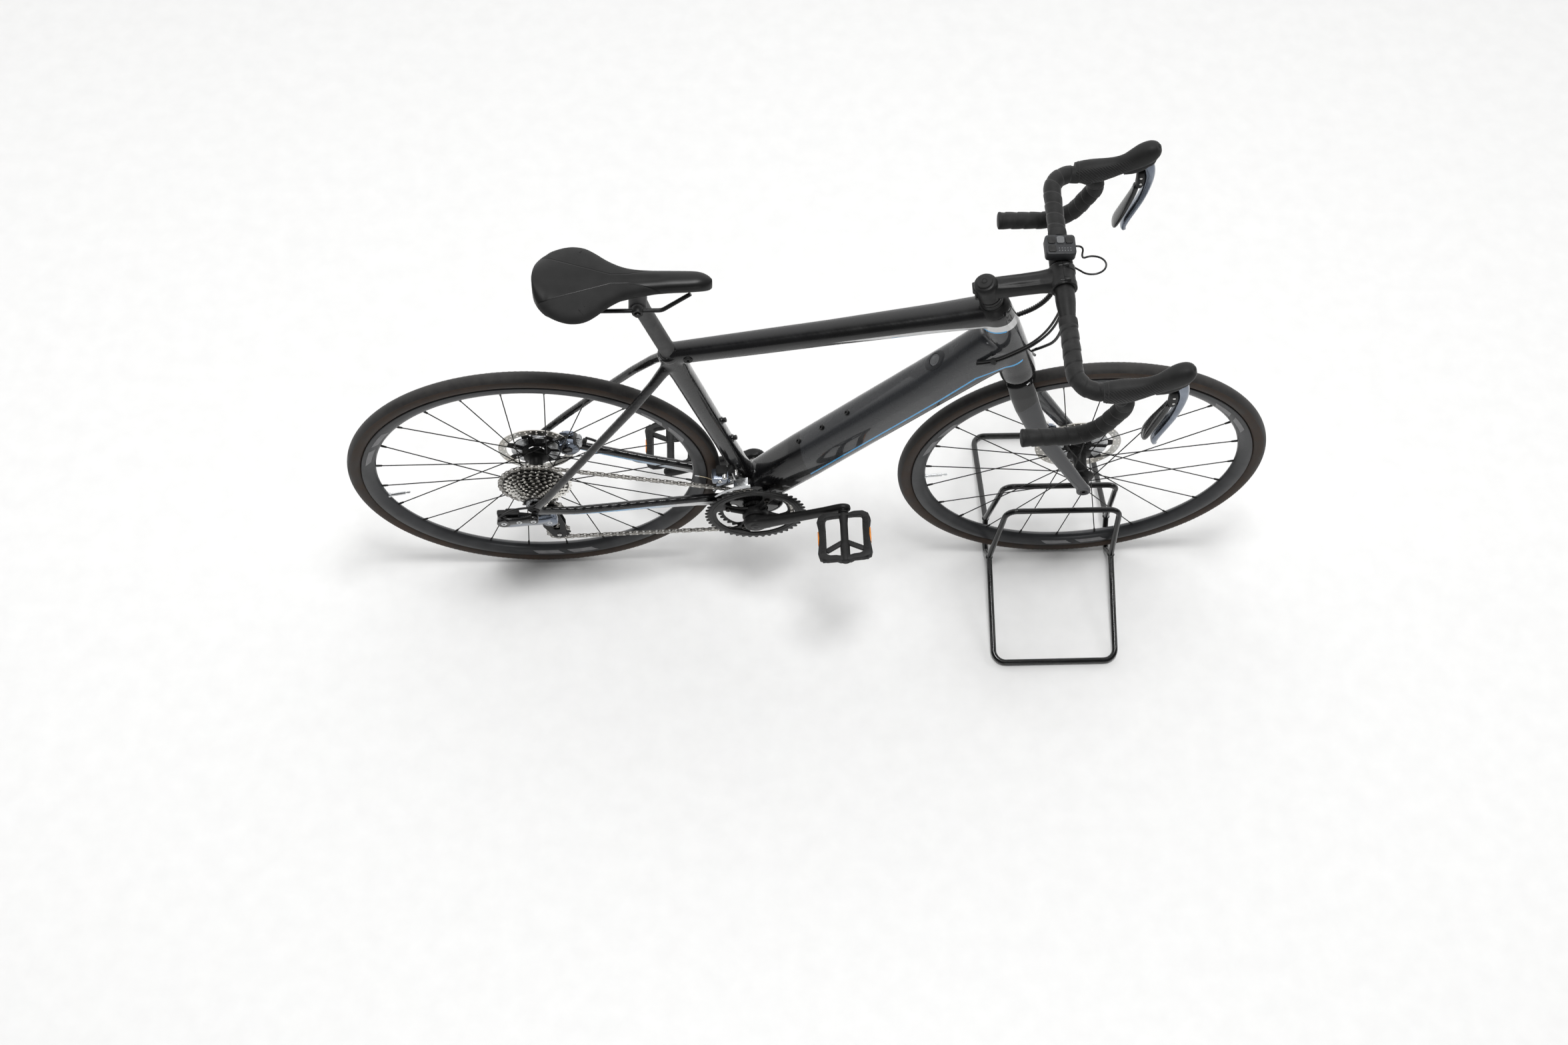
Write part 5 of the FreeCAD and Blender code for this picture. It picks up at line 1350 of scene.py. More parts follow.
def make_cables():
    hose = [spot(880, -52, 919), spot(886, -46, 870), spot(884, -34, 810), spot(874, -14, 764),
            spot(864, 6, 722), spot(866, 24, 688), spot(878, 33, 664)]
    front = Form().tube(spline_line(hose), 2.5, 14)
    middle = spot(928, 22, 944)
    loop = [spot(899, 46, 962), spot(914, 44, 968)]
    for i in range(8):
        turn = math.radians(130 - 42 * i)
        loop.append(middle + Vector((23 * math.cos(turn), 23 * math.sin(turn),
                                     8 * math.cos(turn + 1))) * MM)
    loop.append(spot(902, 23, 936))
    front.tube(spline_line(loop), 1.6, 10)
    make("front_hoses", front, CABLE, "front_end", cad=("fork_cables",), sharp=60)
    tie = Form()
    line = spline_line(hose)
    place = line[int(len(line) * 0.62)]
    tie.tube(circle(place, 3.6, 20, place.y / MM), 0.7, 6, loop=True)
    make("hose_tie", tie, MATTE_BLACK, "front_end")
    right = Form()
    for shift in (0, 7):
        route = [spot(877 - shift / 2, -46, 920), spot(876 - shift, -45, 876),
                 spot(854 - shift, -44, 824), spot(822 - shift, -40, 782 + shift / 2),
                 spot(788, -37, 752 + shift), spot(764, -30, 738 + shift)]
        right.tube(spline_line(route), 2.1, 12)
    blended("right_cables", right, CABLE, ("steering_cables",))
    bundle = Form()
    route = [spot(876, 31, 918), spot(882, 26, 872), spot(862, 28, 820), spot(826, 37, 778),
             spot(788, 40, 754), spot(764, 30, 740)]
    line = spline_line(route)
    bundle.tube(line, 3.4, 14)
    wrap, turned, last = [], 0.0, None
    even = []
    for first, second in zip(line, line[1:]):
        count = max(1, round((second - first).length / 0.0008))
        even += [first.lerp(second, i / count) for i in range(count)]
    for place, across, up in carried(even):
        if last is not None:
            turned += (place - last).length / 0.0052 * 2 * math.pi
        last = place
        wrap.append(place + (across * math.cos(turned) + up * math.sin(turned)) * 0.0037)
    bundle.tube(wrap, 1.0, 6)
    blended("left_bundle", bundle, CABLE, ())
    rear = Form()
    for route, radius in (([spot(-2, -79, 352), spot(-26, -84, 360), spot(-50, -84, 346),
                            spot(-64, -83, 326)], 2.1),
                          ([spot(120, 72, 316), spot(104, 74, 330), spot(92, 66, 350)], 2.5)):
        rear.tube(spline_line(route), radius, 12)
    make("rear_lines", rear, CABLE, "frame", cad=("rear_cables",), sharp=60)


make_cables()


# ---- seat ----

SADDLE_EDGE = [(45.5, 6), (46.5, 20), (50, 34), (60, 49), (76, 62), (96, 70), (112, 71.5),
               (128, 68), (144, 58), (160, 45), (178, 33.5), (198, 25.5), (226, 21), (260, 19),
               (292, 17.8), (310, 15.5), (321, 10.5), (326.5, 3.5)]


def make_saddle():
    """Saddle: a shell lofted along its outline, a hard base and short slots in its edges."""
    stations = smooth_line([spot(x, half, 0) for x, half in SADDLE_EDGE], 4)
    rows = []
    columns = 33
    for place in stations:
        ahead, half = place.x / MM + AXLE_TO_ORIGIN, max(1.5, place.y / MM)
        tail = max(0.0, (115 - ahead) / 70)
        crown = 958.5 + 5.6 * tail ** 1.6 - 1.6 * math.sin(math.pi * min(1, max(0, (ahead - 110) / 150)))
        nose = max(0.0, (ahead - 296) / 31)
        crown -= 9 * nose ** 2.2
        drop = 15 + 9 * min(1, half / 60) + (4 if ahead < 70 else 0)
        row = []
        for j in range(columns):
            s = -1 + 2 * j / (columns - 1)
            reach = math.sin(abs(s) * math.pi / 2) ** 0.93
            y = math.copysign(half * reach, s)
            fall = (1 - math.cos(abs(s) * math.pi / 2) ** 0.62) * drop
            dome = -0.9 * math.exp(-(s * 7) ** 2) if 60 < ahead < 250 else 0.0
            row.append(spot(ahead, y, crown - fall + dome))
        under = [spot(ahead, half * 0.86 * s, crown - drop - 3.2) for s in
                 (1 - 2 * (k + 0.5) / 12 for k in range(12))]
        rows.append(row + under)
    form = Form().rows(rows, caps=BOTH_ENDS)
    piece = make("saddle_top", form, SADDLE_COVER, "seatpost", cad=("saddle",),
                 smooth=1, sharp=75)
    base = Form()
    loft(base, [(spot(58, 0, 938), 30, 4), (spot(90, 0, 936), 54, 4), (spot(130, 0, 934.5), 50, 4),
                (spot(180, 0, 934), 28, 4.5), (spot(240, 0, 935), 15, 5), (spot(300, 0, 936), 12, 5)],
         X_AXIS, 2.6, 32)
    make("saddle_base", base, PLASTIC, "seatpost", sharp=50)
    slots = Form()
    for side in BOTH_SIDES:
        for i in range(5):
            outer = spot(126 + 8 * i, side * (61.5 - 6.4 * i), 947.6 + 0.5 * i)
            inner = spot(119 + 8 * i, side * (53.5 - 6.4 * i), 953.2 + 0.3 * i)
            slots.bar(outer, inner, 1.1, 1.0)
    make("saddle_slots", slots, MATTE_BLACK, "seatpost", bevel=0.3)


SEAT_TUBE_TOP, POST_IN_TUBE, POST_LENGTH = 506, 140, 290


def make_post():
    """Seatpost, the two clamps that hold the saddle rails, their bolt and a rubber collar."""
    length = POST_LENGTH
    low = BRACKET + SEAT * (SEAT_TUBE_TOP - POST_IN_TUBE) * MM
    post = Form().lathe(low, [(11.6, 0), (13.6, 0), (13.6, length - 22), (13.9, length - 14),
                              (14.6, length - 6), (13.8, length), (11, length + 2)], 56, axis=SEAT,
                        caps=BOTH_ENDS)
    top = low + SEAT * (length + 4) * MM
    post.lathe(top, [(9, -16), (13.8, -15.5), (14.9, -13), (14.9, 13), (13.8, 15.5), (9, 16)], 48,
               caps=BOTH_ENDS)
    make("post_tube", post, POST_GREY, "seatpost", cad=("seatpost",), sharp=50,
         change=melted(1.2, 4))
    clamp = Form()
    rail_up = top.z / MM + 8
    for side in BOTH_SIDES:
        low_y, high_y = sorted((side * 15.5, side * 28.5))
        clamp.lathe(Vector((top.x, 0, rail_up * MM)),
                    [(5.2, low_y), (8.6, low_y), (9.2, low_y + 1), (9.2, high_y - 1), (8.6, high_y),
                     (5.2, high_y)], 36, loop=True)
    make("rail_clamp", clamp, SATIN_BLACK, "seatpost", sharp=35)
    bolt = Form().lathe(top + Vector((0, 0, 0.004)), [(0.4, -30), (4.6, -30), (5.2, -29), (5.2, -27),
                                                      (3.4, -26.6), (3.4, 26.6), (5.2, 27), (5.2, 29),
                                                      (4.6, 30), (2.4, 30), (2.4, 27.6), (0.4, 27.6)],
                        24, caps=BOTH_ENDS)
    make("rail_bolt", bolt, BLACK_STEEL, "seatpost", sharp=35)
    edge = [(13.9, 0.2), (16.4, 0.2), (17.2, -0.8), (17.6, -2.4), (13.9, -2.4)]
    collar = Form().lathe(BRACKET + SEAT * SEAT_TUBE_TOP * MM, edge, 48, axis=SEAT, loop=True)
    make("post_collar", collar, RUBBER, "frame", sharp=35)


def make_clamp_screw():
    """Wedge screw of the seatpost, sunk in a ring on the right side of the seat cluster."""
    form = Form().lathe(spot(285, 0, 745), [(2.2, -15.5), (2.6, -19.6), (5.4, -19.6), (5.8, -19.0),
                                            (7.6, -19.0), (8.2, -18.4), (8.2, -12)], 32, caps=FIRST_END)
    make("clamp_screw", form, BLACK_STEEL, "frame", sharp=35)


make_saddle()
make_post()
make_clamp_screw()


# ---- cranks and chainrings ----

RING_SIDE, CHAIN_SIDE, COG_SIDE = -52, -44.5, -24
CRANK_TURN = 23.4
LINK = 12.7
RING_TEETH, INNER_TEETH, FIRST_COG = 46, 34, 32


def pitch_radius(teeth):
    return LINK / (2 * math.sin(math.pi / teeth))


def toothed(centre, teeth, root, tip, start=0.0):
    """A sprocket's outline: eight points a tooth, with a valley at the start angle."""
    heights = (0.0, 0.0, 0.25, 0.8, 1.0, 1.0, 0.8, 0.25)
    ring = []
    for i in range(teeth * len(heights)):
        height = heights[i % len(heights)]
        degrees = start + 360 * (i - 0.5) / (teeth * len(heights))
        ring.append(about(centre, root + (tip - root) * height, degrees))
    return ring


def make_rings():
    """Outer ring with a stepped face, inner ring, four-armed spider and ring bolts."""
    outer_tip = pitch_radius(RING_TEETH) + 1.6
    big = Form()
    outline = toothed(BRACKET, RING_TEETH, outer_tip - 5.6, outer_tip, 2.0)
    count = len(outline)
    big.plate(outline, circle(BRACKET, 73, count), RING_SIDE - 1, RING_SIDE + 1)
    wide = Form()
    lobes, inner = [], []
    for i in range(240):
        degrees = 360 * i / 240
        near = math.cos(math.radians(4 * (degrees - 45 - CRANK_TURN)))
        lobes.append(about(BRACKET, 87.5 + 0.8 * near, degrees))
        inner.append(about(BRACKET, 73.5 - 6 * max(0, near) ** 3, degrees))
    wide.plate(lobes, inner, RING_SIDE - 2, RING_SIDE + 0.6)
    groove = Form().lathe(BRACKET, [(79.6, RING_SIDE - 2.5), (81.6, RING_SIDE - 2.5),
                                    (81.6, RING_SIDE - 1.5), (79.6, RING_SIDE - 1.5)], 120, loop=True)
    small = Form()
    outline = toothed(BRACKET, INNER_TEETH, 64.9, pitch_radius(INNER_TEETH) + 1.9, 90.0)
    lobes = []
    for i in range(len(outline)):
        degrees = 90 + 360 * (i - 0.5) / len(outline)
        near = math.cos(math.radians(4 * (degrees - 45 - CRANK_TURN)))
        lobes.append(about(BRACKET, 60 - 12 * max(0, near) ** 4, degrees))
    small.plate(outline, lobes, CHAIN_SIDE - 1, CHAIN_SIDE + 1)
    for i in range(8):
        big.lathe(about(BRACKET, 85.5, 20 + 45 * i), [(0.3, RING_SIDE + 2.6), (1.8, RING_SIDE + 2.4),
                                                     (1.8, RING_SIDE + 0.5)], 12, caps=FIRST_END)
    make("ring_teeth", big, BLACK_STEEL, "crank", cad=("chainrings",), bevel=0.35, sharp=30)
    make("ring_face", wide, SATIN_BLACK, "crank", bevel=0.5, sharp=30)
    make("ring_step", groove, SATIN_BLACK, "crank", bevel=0.3, sharp=30)
    make("inner_ring", small, SATIN_BLACK, "crank", bevel=0.3, sharp=30)
    spider, bolts = Form(), Form()
    for i in range(4):
        degrees = 45 + 90 * i + CRANK_TURN
        out = (about(BRACKET, 10, degrees) - about(BRACKET, 0, degrees)).normalized()
        across = out.cross(Y_AXIS)
        half = [(16, 15), (26, 11), (38, 8.6), (50, 8.4), (60, 10.5), (68, 15), (74, 21)]
        left = [BRACKET + out * r * MM + across * w * MM for r, w in half]
        right = [BRACKET + out * r * MM - across * w * MM for r, w in reversed(half)]
        outline = smooth_line(left, 3) + [about(BRACKET, 77.5, degrees)] + smooth_line(right, 3)
        spider.prism(outline, RING_SIDE + 0.7, RING_SIDE + 4.4)
        rib = [BRACKET + out * r * MM + across * w * MM for r, w in
               ((18, 3.2), (50, 2.2), (50, -2.2), (18, -3.2))]
        spider.prism(rib, RING_SIDE - 4.6, RING_SIDE + 0.8)
        place = about(BRACKET, 55, degrees)
        bolts.lathe(place, [(2.4, RING_SIDE - 1.6), (2.6, RING_SIDE - 3.6), (4.6, RING_SIDE - 3.6),
                            (5.1, RING_SIDE - 3), (5.1, RING_SIDE + 0.6), (4.2, CHAIN_SIDE + 0.9),
                            (3.6, CHAIN_SIDE + 2.0)], 20, caps=BOTH_ENDS)
        spider.lathe(place, [(5.2, RING_SIDE + 4.4), (7.2, RING_SIDE + 4.4), (7.2, CHAIN_SIDE - 1.1),
                             (5.2, CHAIN_SIDE - 1.1)], 24, loop=True)
    spider.lathe(BRACKET, [(12.2, -46.9), (23.5, -46.9), (24.5, -49), (24.5, -59), (22, -62.5),
                           (12.2, -62.5)], 56, loop=True)
    make("spider", spider, SATIN_BLACK, "crank", bevel=0.9, sharp=35)
    make("ring_bolts", bolts, DARK_STEEL, "crank", sharp=30)


def make_arm(side):
    """A hollow forged crank arm, round at both ends."""
    reach = 172.5 * MM
    turn = math.radians(CRANK_TURN)
    out = Vector((math.cos(turn), 0, math.sin(turn))) * -side
    form = Form()
    root, eye = BRACKET + Y_AXIS * side * 71 * MM, BRACKET + out * reach + Y_AXIS * side * 80 * MM
    stations = []
    for share, half_side, half_tall, lift in ((-0.12, 6.5, 10, 0), (-0.08, 8, 16.5, 0),
                                              (0.0, 9.4, 19.5, 0), (0.1, 9.2, 18, 0),
                                              (0.22, 8.2, 15.2, 1), (0.4, 7.2, 13.4, 1.6),
                                              (0.6, 6.6, 12.4, 1.6), (0.8, 6.4, 12.4, 0.8),
                                              (0.94, 6.3, 13.4, 0), (1.0, 6.2, 13.6, 0),
                                              (1.045, 6.0, 10.8, 0), (1.072, 5.4, 6.0, 0)):
        place = root.lerp(eye, share) + Y_AXIS * side * lift * MM
        stations.append((place, half_side, half_tall))
    loft(form, stations, out, 3.0, 40, steps=4)
    low, high = sorted((side * 61.5, side * 79))
    name = SIDE_NAMES[side]
    form.lathe(BRACKET, [(12.2, low), (18.6, low), (20, low + 1.5), (20, high - 2), (17.5, high),
                         (12.2, high)], 56, loop=True)
    make("arm_" + name, form, SATIN_BLACK, "crank", cad=("crank_" + name,),
         change=melted(1.5, 5), sharp=180)
    trim = Form()
    trim.lathe(BRACKET, [(3.2, side * 79.2), (3.6, side * 80.6), (8.2, side * 80.8),
                         (9.6, side * 80.2), (10.0, side * 78)], 36, caps=FIRST_END)
    ends = [side * 5.6, side * 6.6]
    trim.lathe(eye, [(3.6, ends[0] - side * 2.4), (5.2, ends[0]), (7.2, ends[1]),
                      (8.6, ends[1]), (9.0, ends[0])], 28, caps=FIRST_END)
    make("arm_trim_" + name, trim, BLACK_STEEL, "crank", sharp=35)
    if side == 1:
        screws = Form()
        for offset in (-1, 1):
            place = BRACKET - out * 0.0165 + Vector((0, (70 + 5.2 * offset) * MM, 0))
            screws.lathe(place - Vector((out.z, 0, -out.x)) * 0.0145,
                         [(1.7, 0), (1.9, 0.6), (3.9, 0.6), (4.1, 0), (4.1, -3)], 20,
                         axis=Vector((out.z, 0, -out.x)) * -1, caps=FIRST_END)
        make("pinch_screws", screws, BLACK_STEEL, "crank", sharp=35)


def make_bracket():
    """Bearing cups with spanner notches, and the crank spindle."""
    cups = Form()
    for side in BOTH_SIDES:
        profile = [(12.2, 35.4), (21.5, 35.4), (22.5, 36.4), (22.5, 43), (20.5, 44.2), (12.2, 44.2)]
        ring = [(r, side * a) for r, a in profile]
        cups.lathe(BRACKET, ring, 64, loop=True)
        for i in range(16):
            place = about(BRACKET, 22.6, 22.5 * i)
            low, high = sorted((side * 37.5, side * 42))
            cups.lathe(place, [(1.3, low), (1.3, high)], 8, caps=BOTH_ENDS)
    make("bracket_cups", cups, BLACK_STEEL, "frame", sharp=35)
    spindle = Form().lathe(BRACKET, [(9, -66), (11.9, -65.5), (11.9, 61.5), (9, 62)], 40,
                           caps=BOTH_ENDS)
    make("bracket_spindle", spindle, STEEL, "crank", sharp=35)


make_rings()
for side in BOTH_SIDES:
    make_arm(side)
make_bracket()


# ---- chain ----

GUIDE, TENSION = spot(20, -25, 249), spot(30, -25, 152)
PULLEY_PITCH = 21.5


def same_side_run(first, first_radius, second, second_radius, above):
    """The ends of the straight run that touches two round parts on the same side."""
    line = second - first
    flat = math.hypot(line.x, line.z)
    lean = math.atan2(line.z, line.x) + above * math.asin((second_radius - first_radius) * MM / flat)
    across = Vector((-math.sin(lean), 0, math.cos(lean))) * above
    return first + across * first_radius * MM, second + across * second_radius * MM


def crossing_run(first, first_radius, second, second_radius, turn):
    line = second - first
    flat = math.hypot(line.x, line.z)
    lean = math.acos((first_radius + second_radius) * MM / flat)
    heading = math.atan2(line.z, line.x) + turn * lean
    across = Vector((math.cos(heading), 0, math.sin(heading)))
    return first + across * first_radius * MM, second - across * second_radius * MM


def wrapped(centre, start, end, sense):
    """Points round a wheel from one place to another; sense 1 turns from forwards to up."""
    first = math.atan2(start.z - centre.z, start.x - centre.x)
    last = math.atan2(end.z - centre.z, end.x - centre.x)
    while (last - first) * sense < 0:
        last += 2 * math.pi * sense
    radius = math.hypot(start.x - centre.x, start.z - centre.z)
    count = max(6, int(abs(last - first) * 30))
    found = []
    for i in range(1, count):
        turn = first + (last - first) * i / count
        side = start.y + (end.y - start.y) * i / count
        found.append(Vector((centre.x + radius * math.cos(turn), side,
                             centre.z + radius * math.sin(turn))))
    return found


def chain_route():
    ring = Vector((BRACKET.x, CHAIN_SIDE * MM, BRACKET.z))
    cog = Vector((REAR_AXLE.x, COG_SIDE * MM, REAR_AXLE.z))
    big, small = pitch_radius(INNER_TEETH), pitch_radius(FIRST_COG)
    top_rear, top_front = same_side_run(cog, small, ring, big, 1)
    low_rear, low_front = same_side_run(TENSION, PULLEY_PITCH, ring, big, -1)
    cog_off, guide_on = crossing_run(cog, small, GUIDE, PULLEY_PITCH, 1)
    guide_off, tension_on = crossing_run(GUIDE, PULLEY_PITCH, TENSION, PULLEY_PITCH, -1)
    route = [top_rear, top_front] + wrapped(ring, top_front, low_front, -1) + [low_front, low_rear]
    route += wrapped(TENSION, low_rear, tension_on, -1) + [tension_on, guide_off]
    route += wrapped(GUIDE, guide_off, guide_on, 1) + [guide_on, cog_off]
    route += wrapped(cog, cog_off, top_rear, -1)
    return route


def even_points(route, spacing):
    """Points a chain pitch apart round a closed route, nearest even number of links."""
    lengths = [0.0]
    closed = route + route[:1]
    for first, second in zip(closed, closed[1:]):
        lengths.append(lengths[-1] + (second - first).length)
    count = 2 * round(lengths[-1] / spacing / 2)
    found, i = [], 0
    for number in range(count):
        reach = lengths[-1] * number / count
        while lengths[i + 1] < reach:
            i += 1
        share = (reach - lengths[i]) / (lengths[i + 1] - lengths[i])
        found.append(closed[i].lerp(closed[i + 1], share))
    return found


def make_chain():
    """Side plates in overlapping pairs, with a roller and a pin at each joint."""
    pins = even_points(chain_route(), LINK * MM)
    plates, rollers = Form(), Form()
    count = len(pins)
    for i, pin in enumerate(pins):
        after = pins[(i + 1) % count]
        run = (after - pin).normalized()
        up = run.cross(Y_AXIS).normalized()
        out = up.cross(run).normalized()
        length = (after - pin).length
        outline = []
        for end, start in ((after, -90), (pin, 90)):
            for k in range(6):
                turn = math.radians(start + 36 * k)
                outline.append(end + (run * math.cos(turn) + up * math.sin(turn)) * 4.1 * MM)
            waist = pin + run * length / 2 + up * (2.9 if start == -90 else -2.9) * MM
            outline.append(waist)
        wide = (1.1, 1.85) if i % 2 else (1.95, 2.7)
        for sign in BOTH_SIDES:
            low, high = sorted((sign * wide[0], sign * wide[1]))
            plates.prism(outline, low, high, out)
        rollers.lathe(pin, [(3.75, -1.05), (3.75, 1.05)], 14, axis=out, caps=BOTH_ENDS)
        rollers.lathe(pin, [(1.2, -3.0), (1.75, -2.8), (1.75, 2.8), (1.2, 3.0)], 10, axis=out,
                      caps=BOTH_ENDS)
    make("chain_plates", plates, CHAIN_STEEL, "frame", cad=("chain",), bevel=0.15, sharp=35)
    make("chain_rollers", rollers, STEEL, "frame", sharp=35)


def make_cassette():
    """Eleven cogs a fixed step apart, dark spacers between them that reach out over each cog's root as
    painted shade between the cogs, arms and a lockring.
    """
    cogs, inner = Form(), Form()
    teeth_list = (FIRST_COG, 28, 25, 22, 20, 18, 16, 14, 13, 12, 11)
    for i, teeth in enumerate(teeth_list):
        side = COG_SIDE - 3.74 * i
        pitch = pitch_radius(teeth)
        outline = toothed(REAR_AXLE, teeth, pitch - 3.9, pitch + 1.7, 8.0 * i)
        count = len(outline)
        bore = max(18.5, pitch - 6.2)
        cogs.plate(outline, circle(REAR_AXLE, bore, count), side - 0.85, side + 0.85)
        # Dark ring beside each cog, reaching out to just under its teeth: a spacer widened into painted shade
        # that fills the gap between the cogs.
        inner.lathe(REAR_AXLE, [(18.6, side - 1.8), (pitch - 5.0, side - 1.8), (pitch - 4.4, side - 1.2),
                                (pitch - 4.4, side + 1.2), (18.6, side + 1.2)], 64, loop=True)
    for i in range(7):
        degrees = 360 / 7 * i
        inner.bar(about(REAR_AXLE, 17, degrees, -27.5), about(REAR_AXLE, 46, degrees + 12, -27.5),
                  4.0, 3.4)
    inner.lathe(REAR_AXLE, [(6.4, -22.6), (19.6, -22.6), (19.6, -62.5), (6.4, -62.5)], 40, loop=True)
    ring = Form().lathe(REAR_AXLE, [(9.4, -62.4), (9.4, -64.6), (12, -66), (15.8, -66), (16.6, -65.2),
                                    (16.6, -62.4)], 48, loop=True)
    for i in range(12):
        ring.lathe(about(REAR_AXLE, 10.2, 30 * i), [(0.9, -65.6), (0.9, -62.4)], 8,
                   caps=BOTH_ENDS)
    make("cassette_cogs", cogs, COG_STEEL, "cassette", cad=("cassette",), bevel=0.2, sharp=30)
    make("cassette_core_and_painted_shade", inner, DARK_STEEL, "cassette", bevel=0.4, sharp=35)
    make("cassette_lockring", ring, SILVER, "cassette", sharp=35)


make_chain()
make_cassette()


# ---- derailleurs ----

def make_pulleys():
    """Toothed guide and tension pulleys with bearing caps."""
    for name, centre in (("guide_pulley", GUIDE), ("tension_pulley", TENSION)):
        middle = Vector((centre.x, 0, centre.z))
        wheel = Form()
        outline = toothed(middle, 11, 17.2, 21.6, 16)
        wheel.plate(outline, circle(middle, 8, len(outline)), -26.1, -23.9)
        wheel.lathe(middle, [(8, -27.6), (15, -27.2), (16.2, -26.2), (16.2, -23.8), (15, -22.8),
                             (8, -22.4)], 44, loop=True)
        make(name + "_wheel", wheel, PLASTIC, name, cad=(name,), bevel=0.3, sharp=35)
        cap = Form().lathe(middle, [(3.2, -28.2), (8, -28), (8.6, -27), (8.6, -23), (8, -22),
                                    (3.2, -21.8)], 30, loop=True)
        make(name + "_cap", cap, SILVER, name, sharp=35)


def cage_outline(spread_at_middle):
    """The cage plate's bent triangle round both pulleys."""
    ring = []
    for centre, size, start, sweep in ((GUIDE, 12, -10, 190), (TENSION, 13.5, 190, 160)):
        for i in range(9):
            ring.append(about(Vector((centre.x, 0, centre.z)), size, start + sweep * i / 8))
        if start < 0:
            ring.append(spot(6 - spread_at_middle, 0, 206))
            ring.append(spot(8 - spread_at_middle, 0, 184))
    ring.append(spot(44, 0, 190))
    return ring


def make_rear_mech():
    """Cage plates, parallelogram link, arm, knuckle, bolts and cable tail."""
    edge = cage_outline(6)
    middle = spot(24, 0, 198)
    hole = [middle + (place - middle) * 0.45 for place in edge]
    outer = Form().plate(edge, hole, -31.6, -29.6)
    outer.lathe(spot(20, 0, 256), [(5, -45.4), (11.6, -45.4), (12, -44), (12, -31.5), (5, -31.5)], 36,
                loop=True)
    edge = cage_outline(0)
    inner = Form().plate(edge, [middle + (place - middle) * 0.45 for place in edge], -20.4, -18.6)
    make("cage_outer", outer, PLASTIC, "frame", cad=("derailleur_cage",), bevel=0.6, sharp=35)
    make("cage_inner", inner, SATIN_BLACK, "frame", bevel=0.5, sharp=35)
    pins = Form()
    for centre in (GUIDE, TENSION):
        middle = Vector((centre.x, 0, centre.z))
        pins.lathe(middle, [(1.3, -32.6), (1.5, -33.2), (3.8, -33.2), (4.3, -32.6), (4.3, -31.6),
                            (2.9, -31.5), (2.9, -18.5), (4, -18.4), (4, -17.8), (0.5, -17.8)], 24,
                   caps=BOTH_ENDS)
    make("cage_bolts", pins, STEEL, "frame", sharp=35)
    link = Form()
    loft(link, [(spot(4, -84.5, 319), 4.2, 8), (spot(-8, -84.8, 318), 4.8, 11),
                (spot(-24, -85.2, 316), 4.6, 9), (spot(-42, -85.6, 314), 4.8, 10.5),
                (spot(-58, -85.8, 312), 4.8, 13), (spot(-69, -85.6, 311), 3.8, 10)], X_AXIS, 2.7, 32,
         steps=4)
    link.lathe(spot(-4, 0, 318), [(4, -90.6), (8.4, -90.6), (9.2, -89.8), (9.2, -79.3), (4, -79.3)],
               32, loop=True)
    link.lathe(spot(-58, 0, 312), [(4, -91), (12, -91), (13, -90), (13, -77), (11, -75.6), (4, -75.6)],
               36, loop=True)
    make("mech_link", link, GLOSS_BLACK, "frame", cad=("rear_derailleur",), bevel=0.4, sharp=45)
    arm = Form()
    loft(arm, [(spot(-60, -82, 306), 7, 11), (spot(-46, -79, 301), 9, 14), (spot(-28, -73, 291), 9.4, 13),
               (spot(-8, -64.5, 277), 9, 12), (spot(8, -57.5, 266), 9, 13), (spot(18, -53, 259), 8, 15),
               (spot(26, -51, 254), 6, 12)], None, 3.1, 36, steps=4)
    make("mech_arm", arm, BLUE_GREY, "frame", sharp=45,
         change=melted(1.1, 3))
    knuckle = Form()
    knuckle.lathe(spot(20, 0, 256), [(3, -60.6), (13, -60.6), (15.2, -58.8), (15.6, -52), (14, -46.2),
                                     (3, -45.6)], 44, caps=BOTH_ENDS)
    make("mech_knuckle", knuckle, BLUE_GREY, "frame", sharp=40)
    dark = Form()
    rounded_box(dark, spot(-56, -79, 317), spot(-30, -66, 327), 3.5)
    dark.bar(spot(-50, -74, 322), spot(4, -58, 280), 3, 4)
    rounded_box(dark, spot(-70, -80, 318), spot(-54, -70, 330), 3.0)
    make("mech_links", dark, PLASTIC, "frame", bevel=1.0, sharp=40)
    bolts = Form()
    for x, z, side in ((-4, 318, -90.6), (-30, 315, -90.0), (-58, 312, -91), (20, 256, -60.6)):
        bolts.lathe(spot(x, 0, z), [(2.2, side + 1.8), (2.4, side - 0.4), (4.8, side - 0.4),
                                    (5.4, side + 0.2), (5.4, side + 1.4)], 26, caps=FIRST_END)
    make("mech_bolts", bolts, SILVER, "frame", sharp=35)
    tail = Form().tube(smooth_line([spot(-64, -83, 326), spot(-66, -80, 318), spot(-60, -76, 300),
                                    spot(-52, -74, 284)], 5), 0.7, 8)
    tail.tube([spot(-52, -74, 284), spot(-49, -73, 276)], 1.2, 8)
    make("mech_cable_tail", tail, SILVER, "frame", sharp=40)


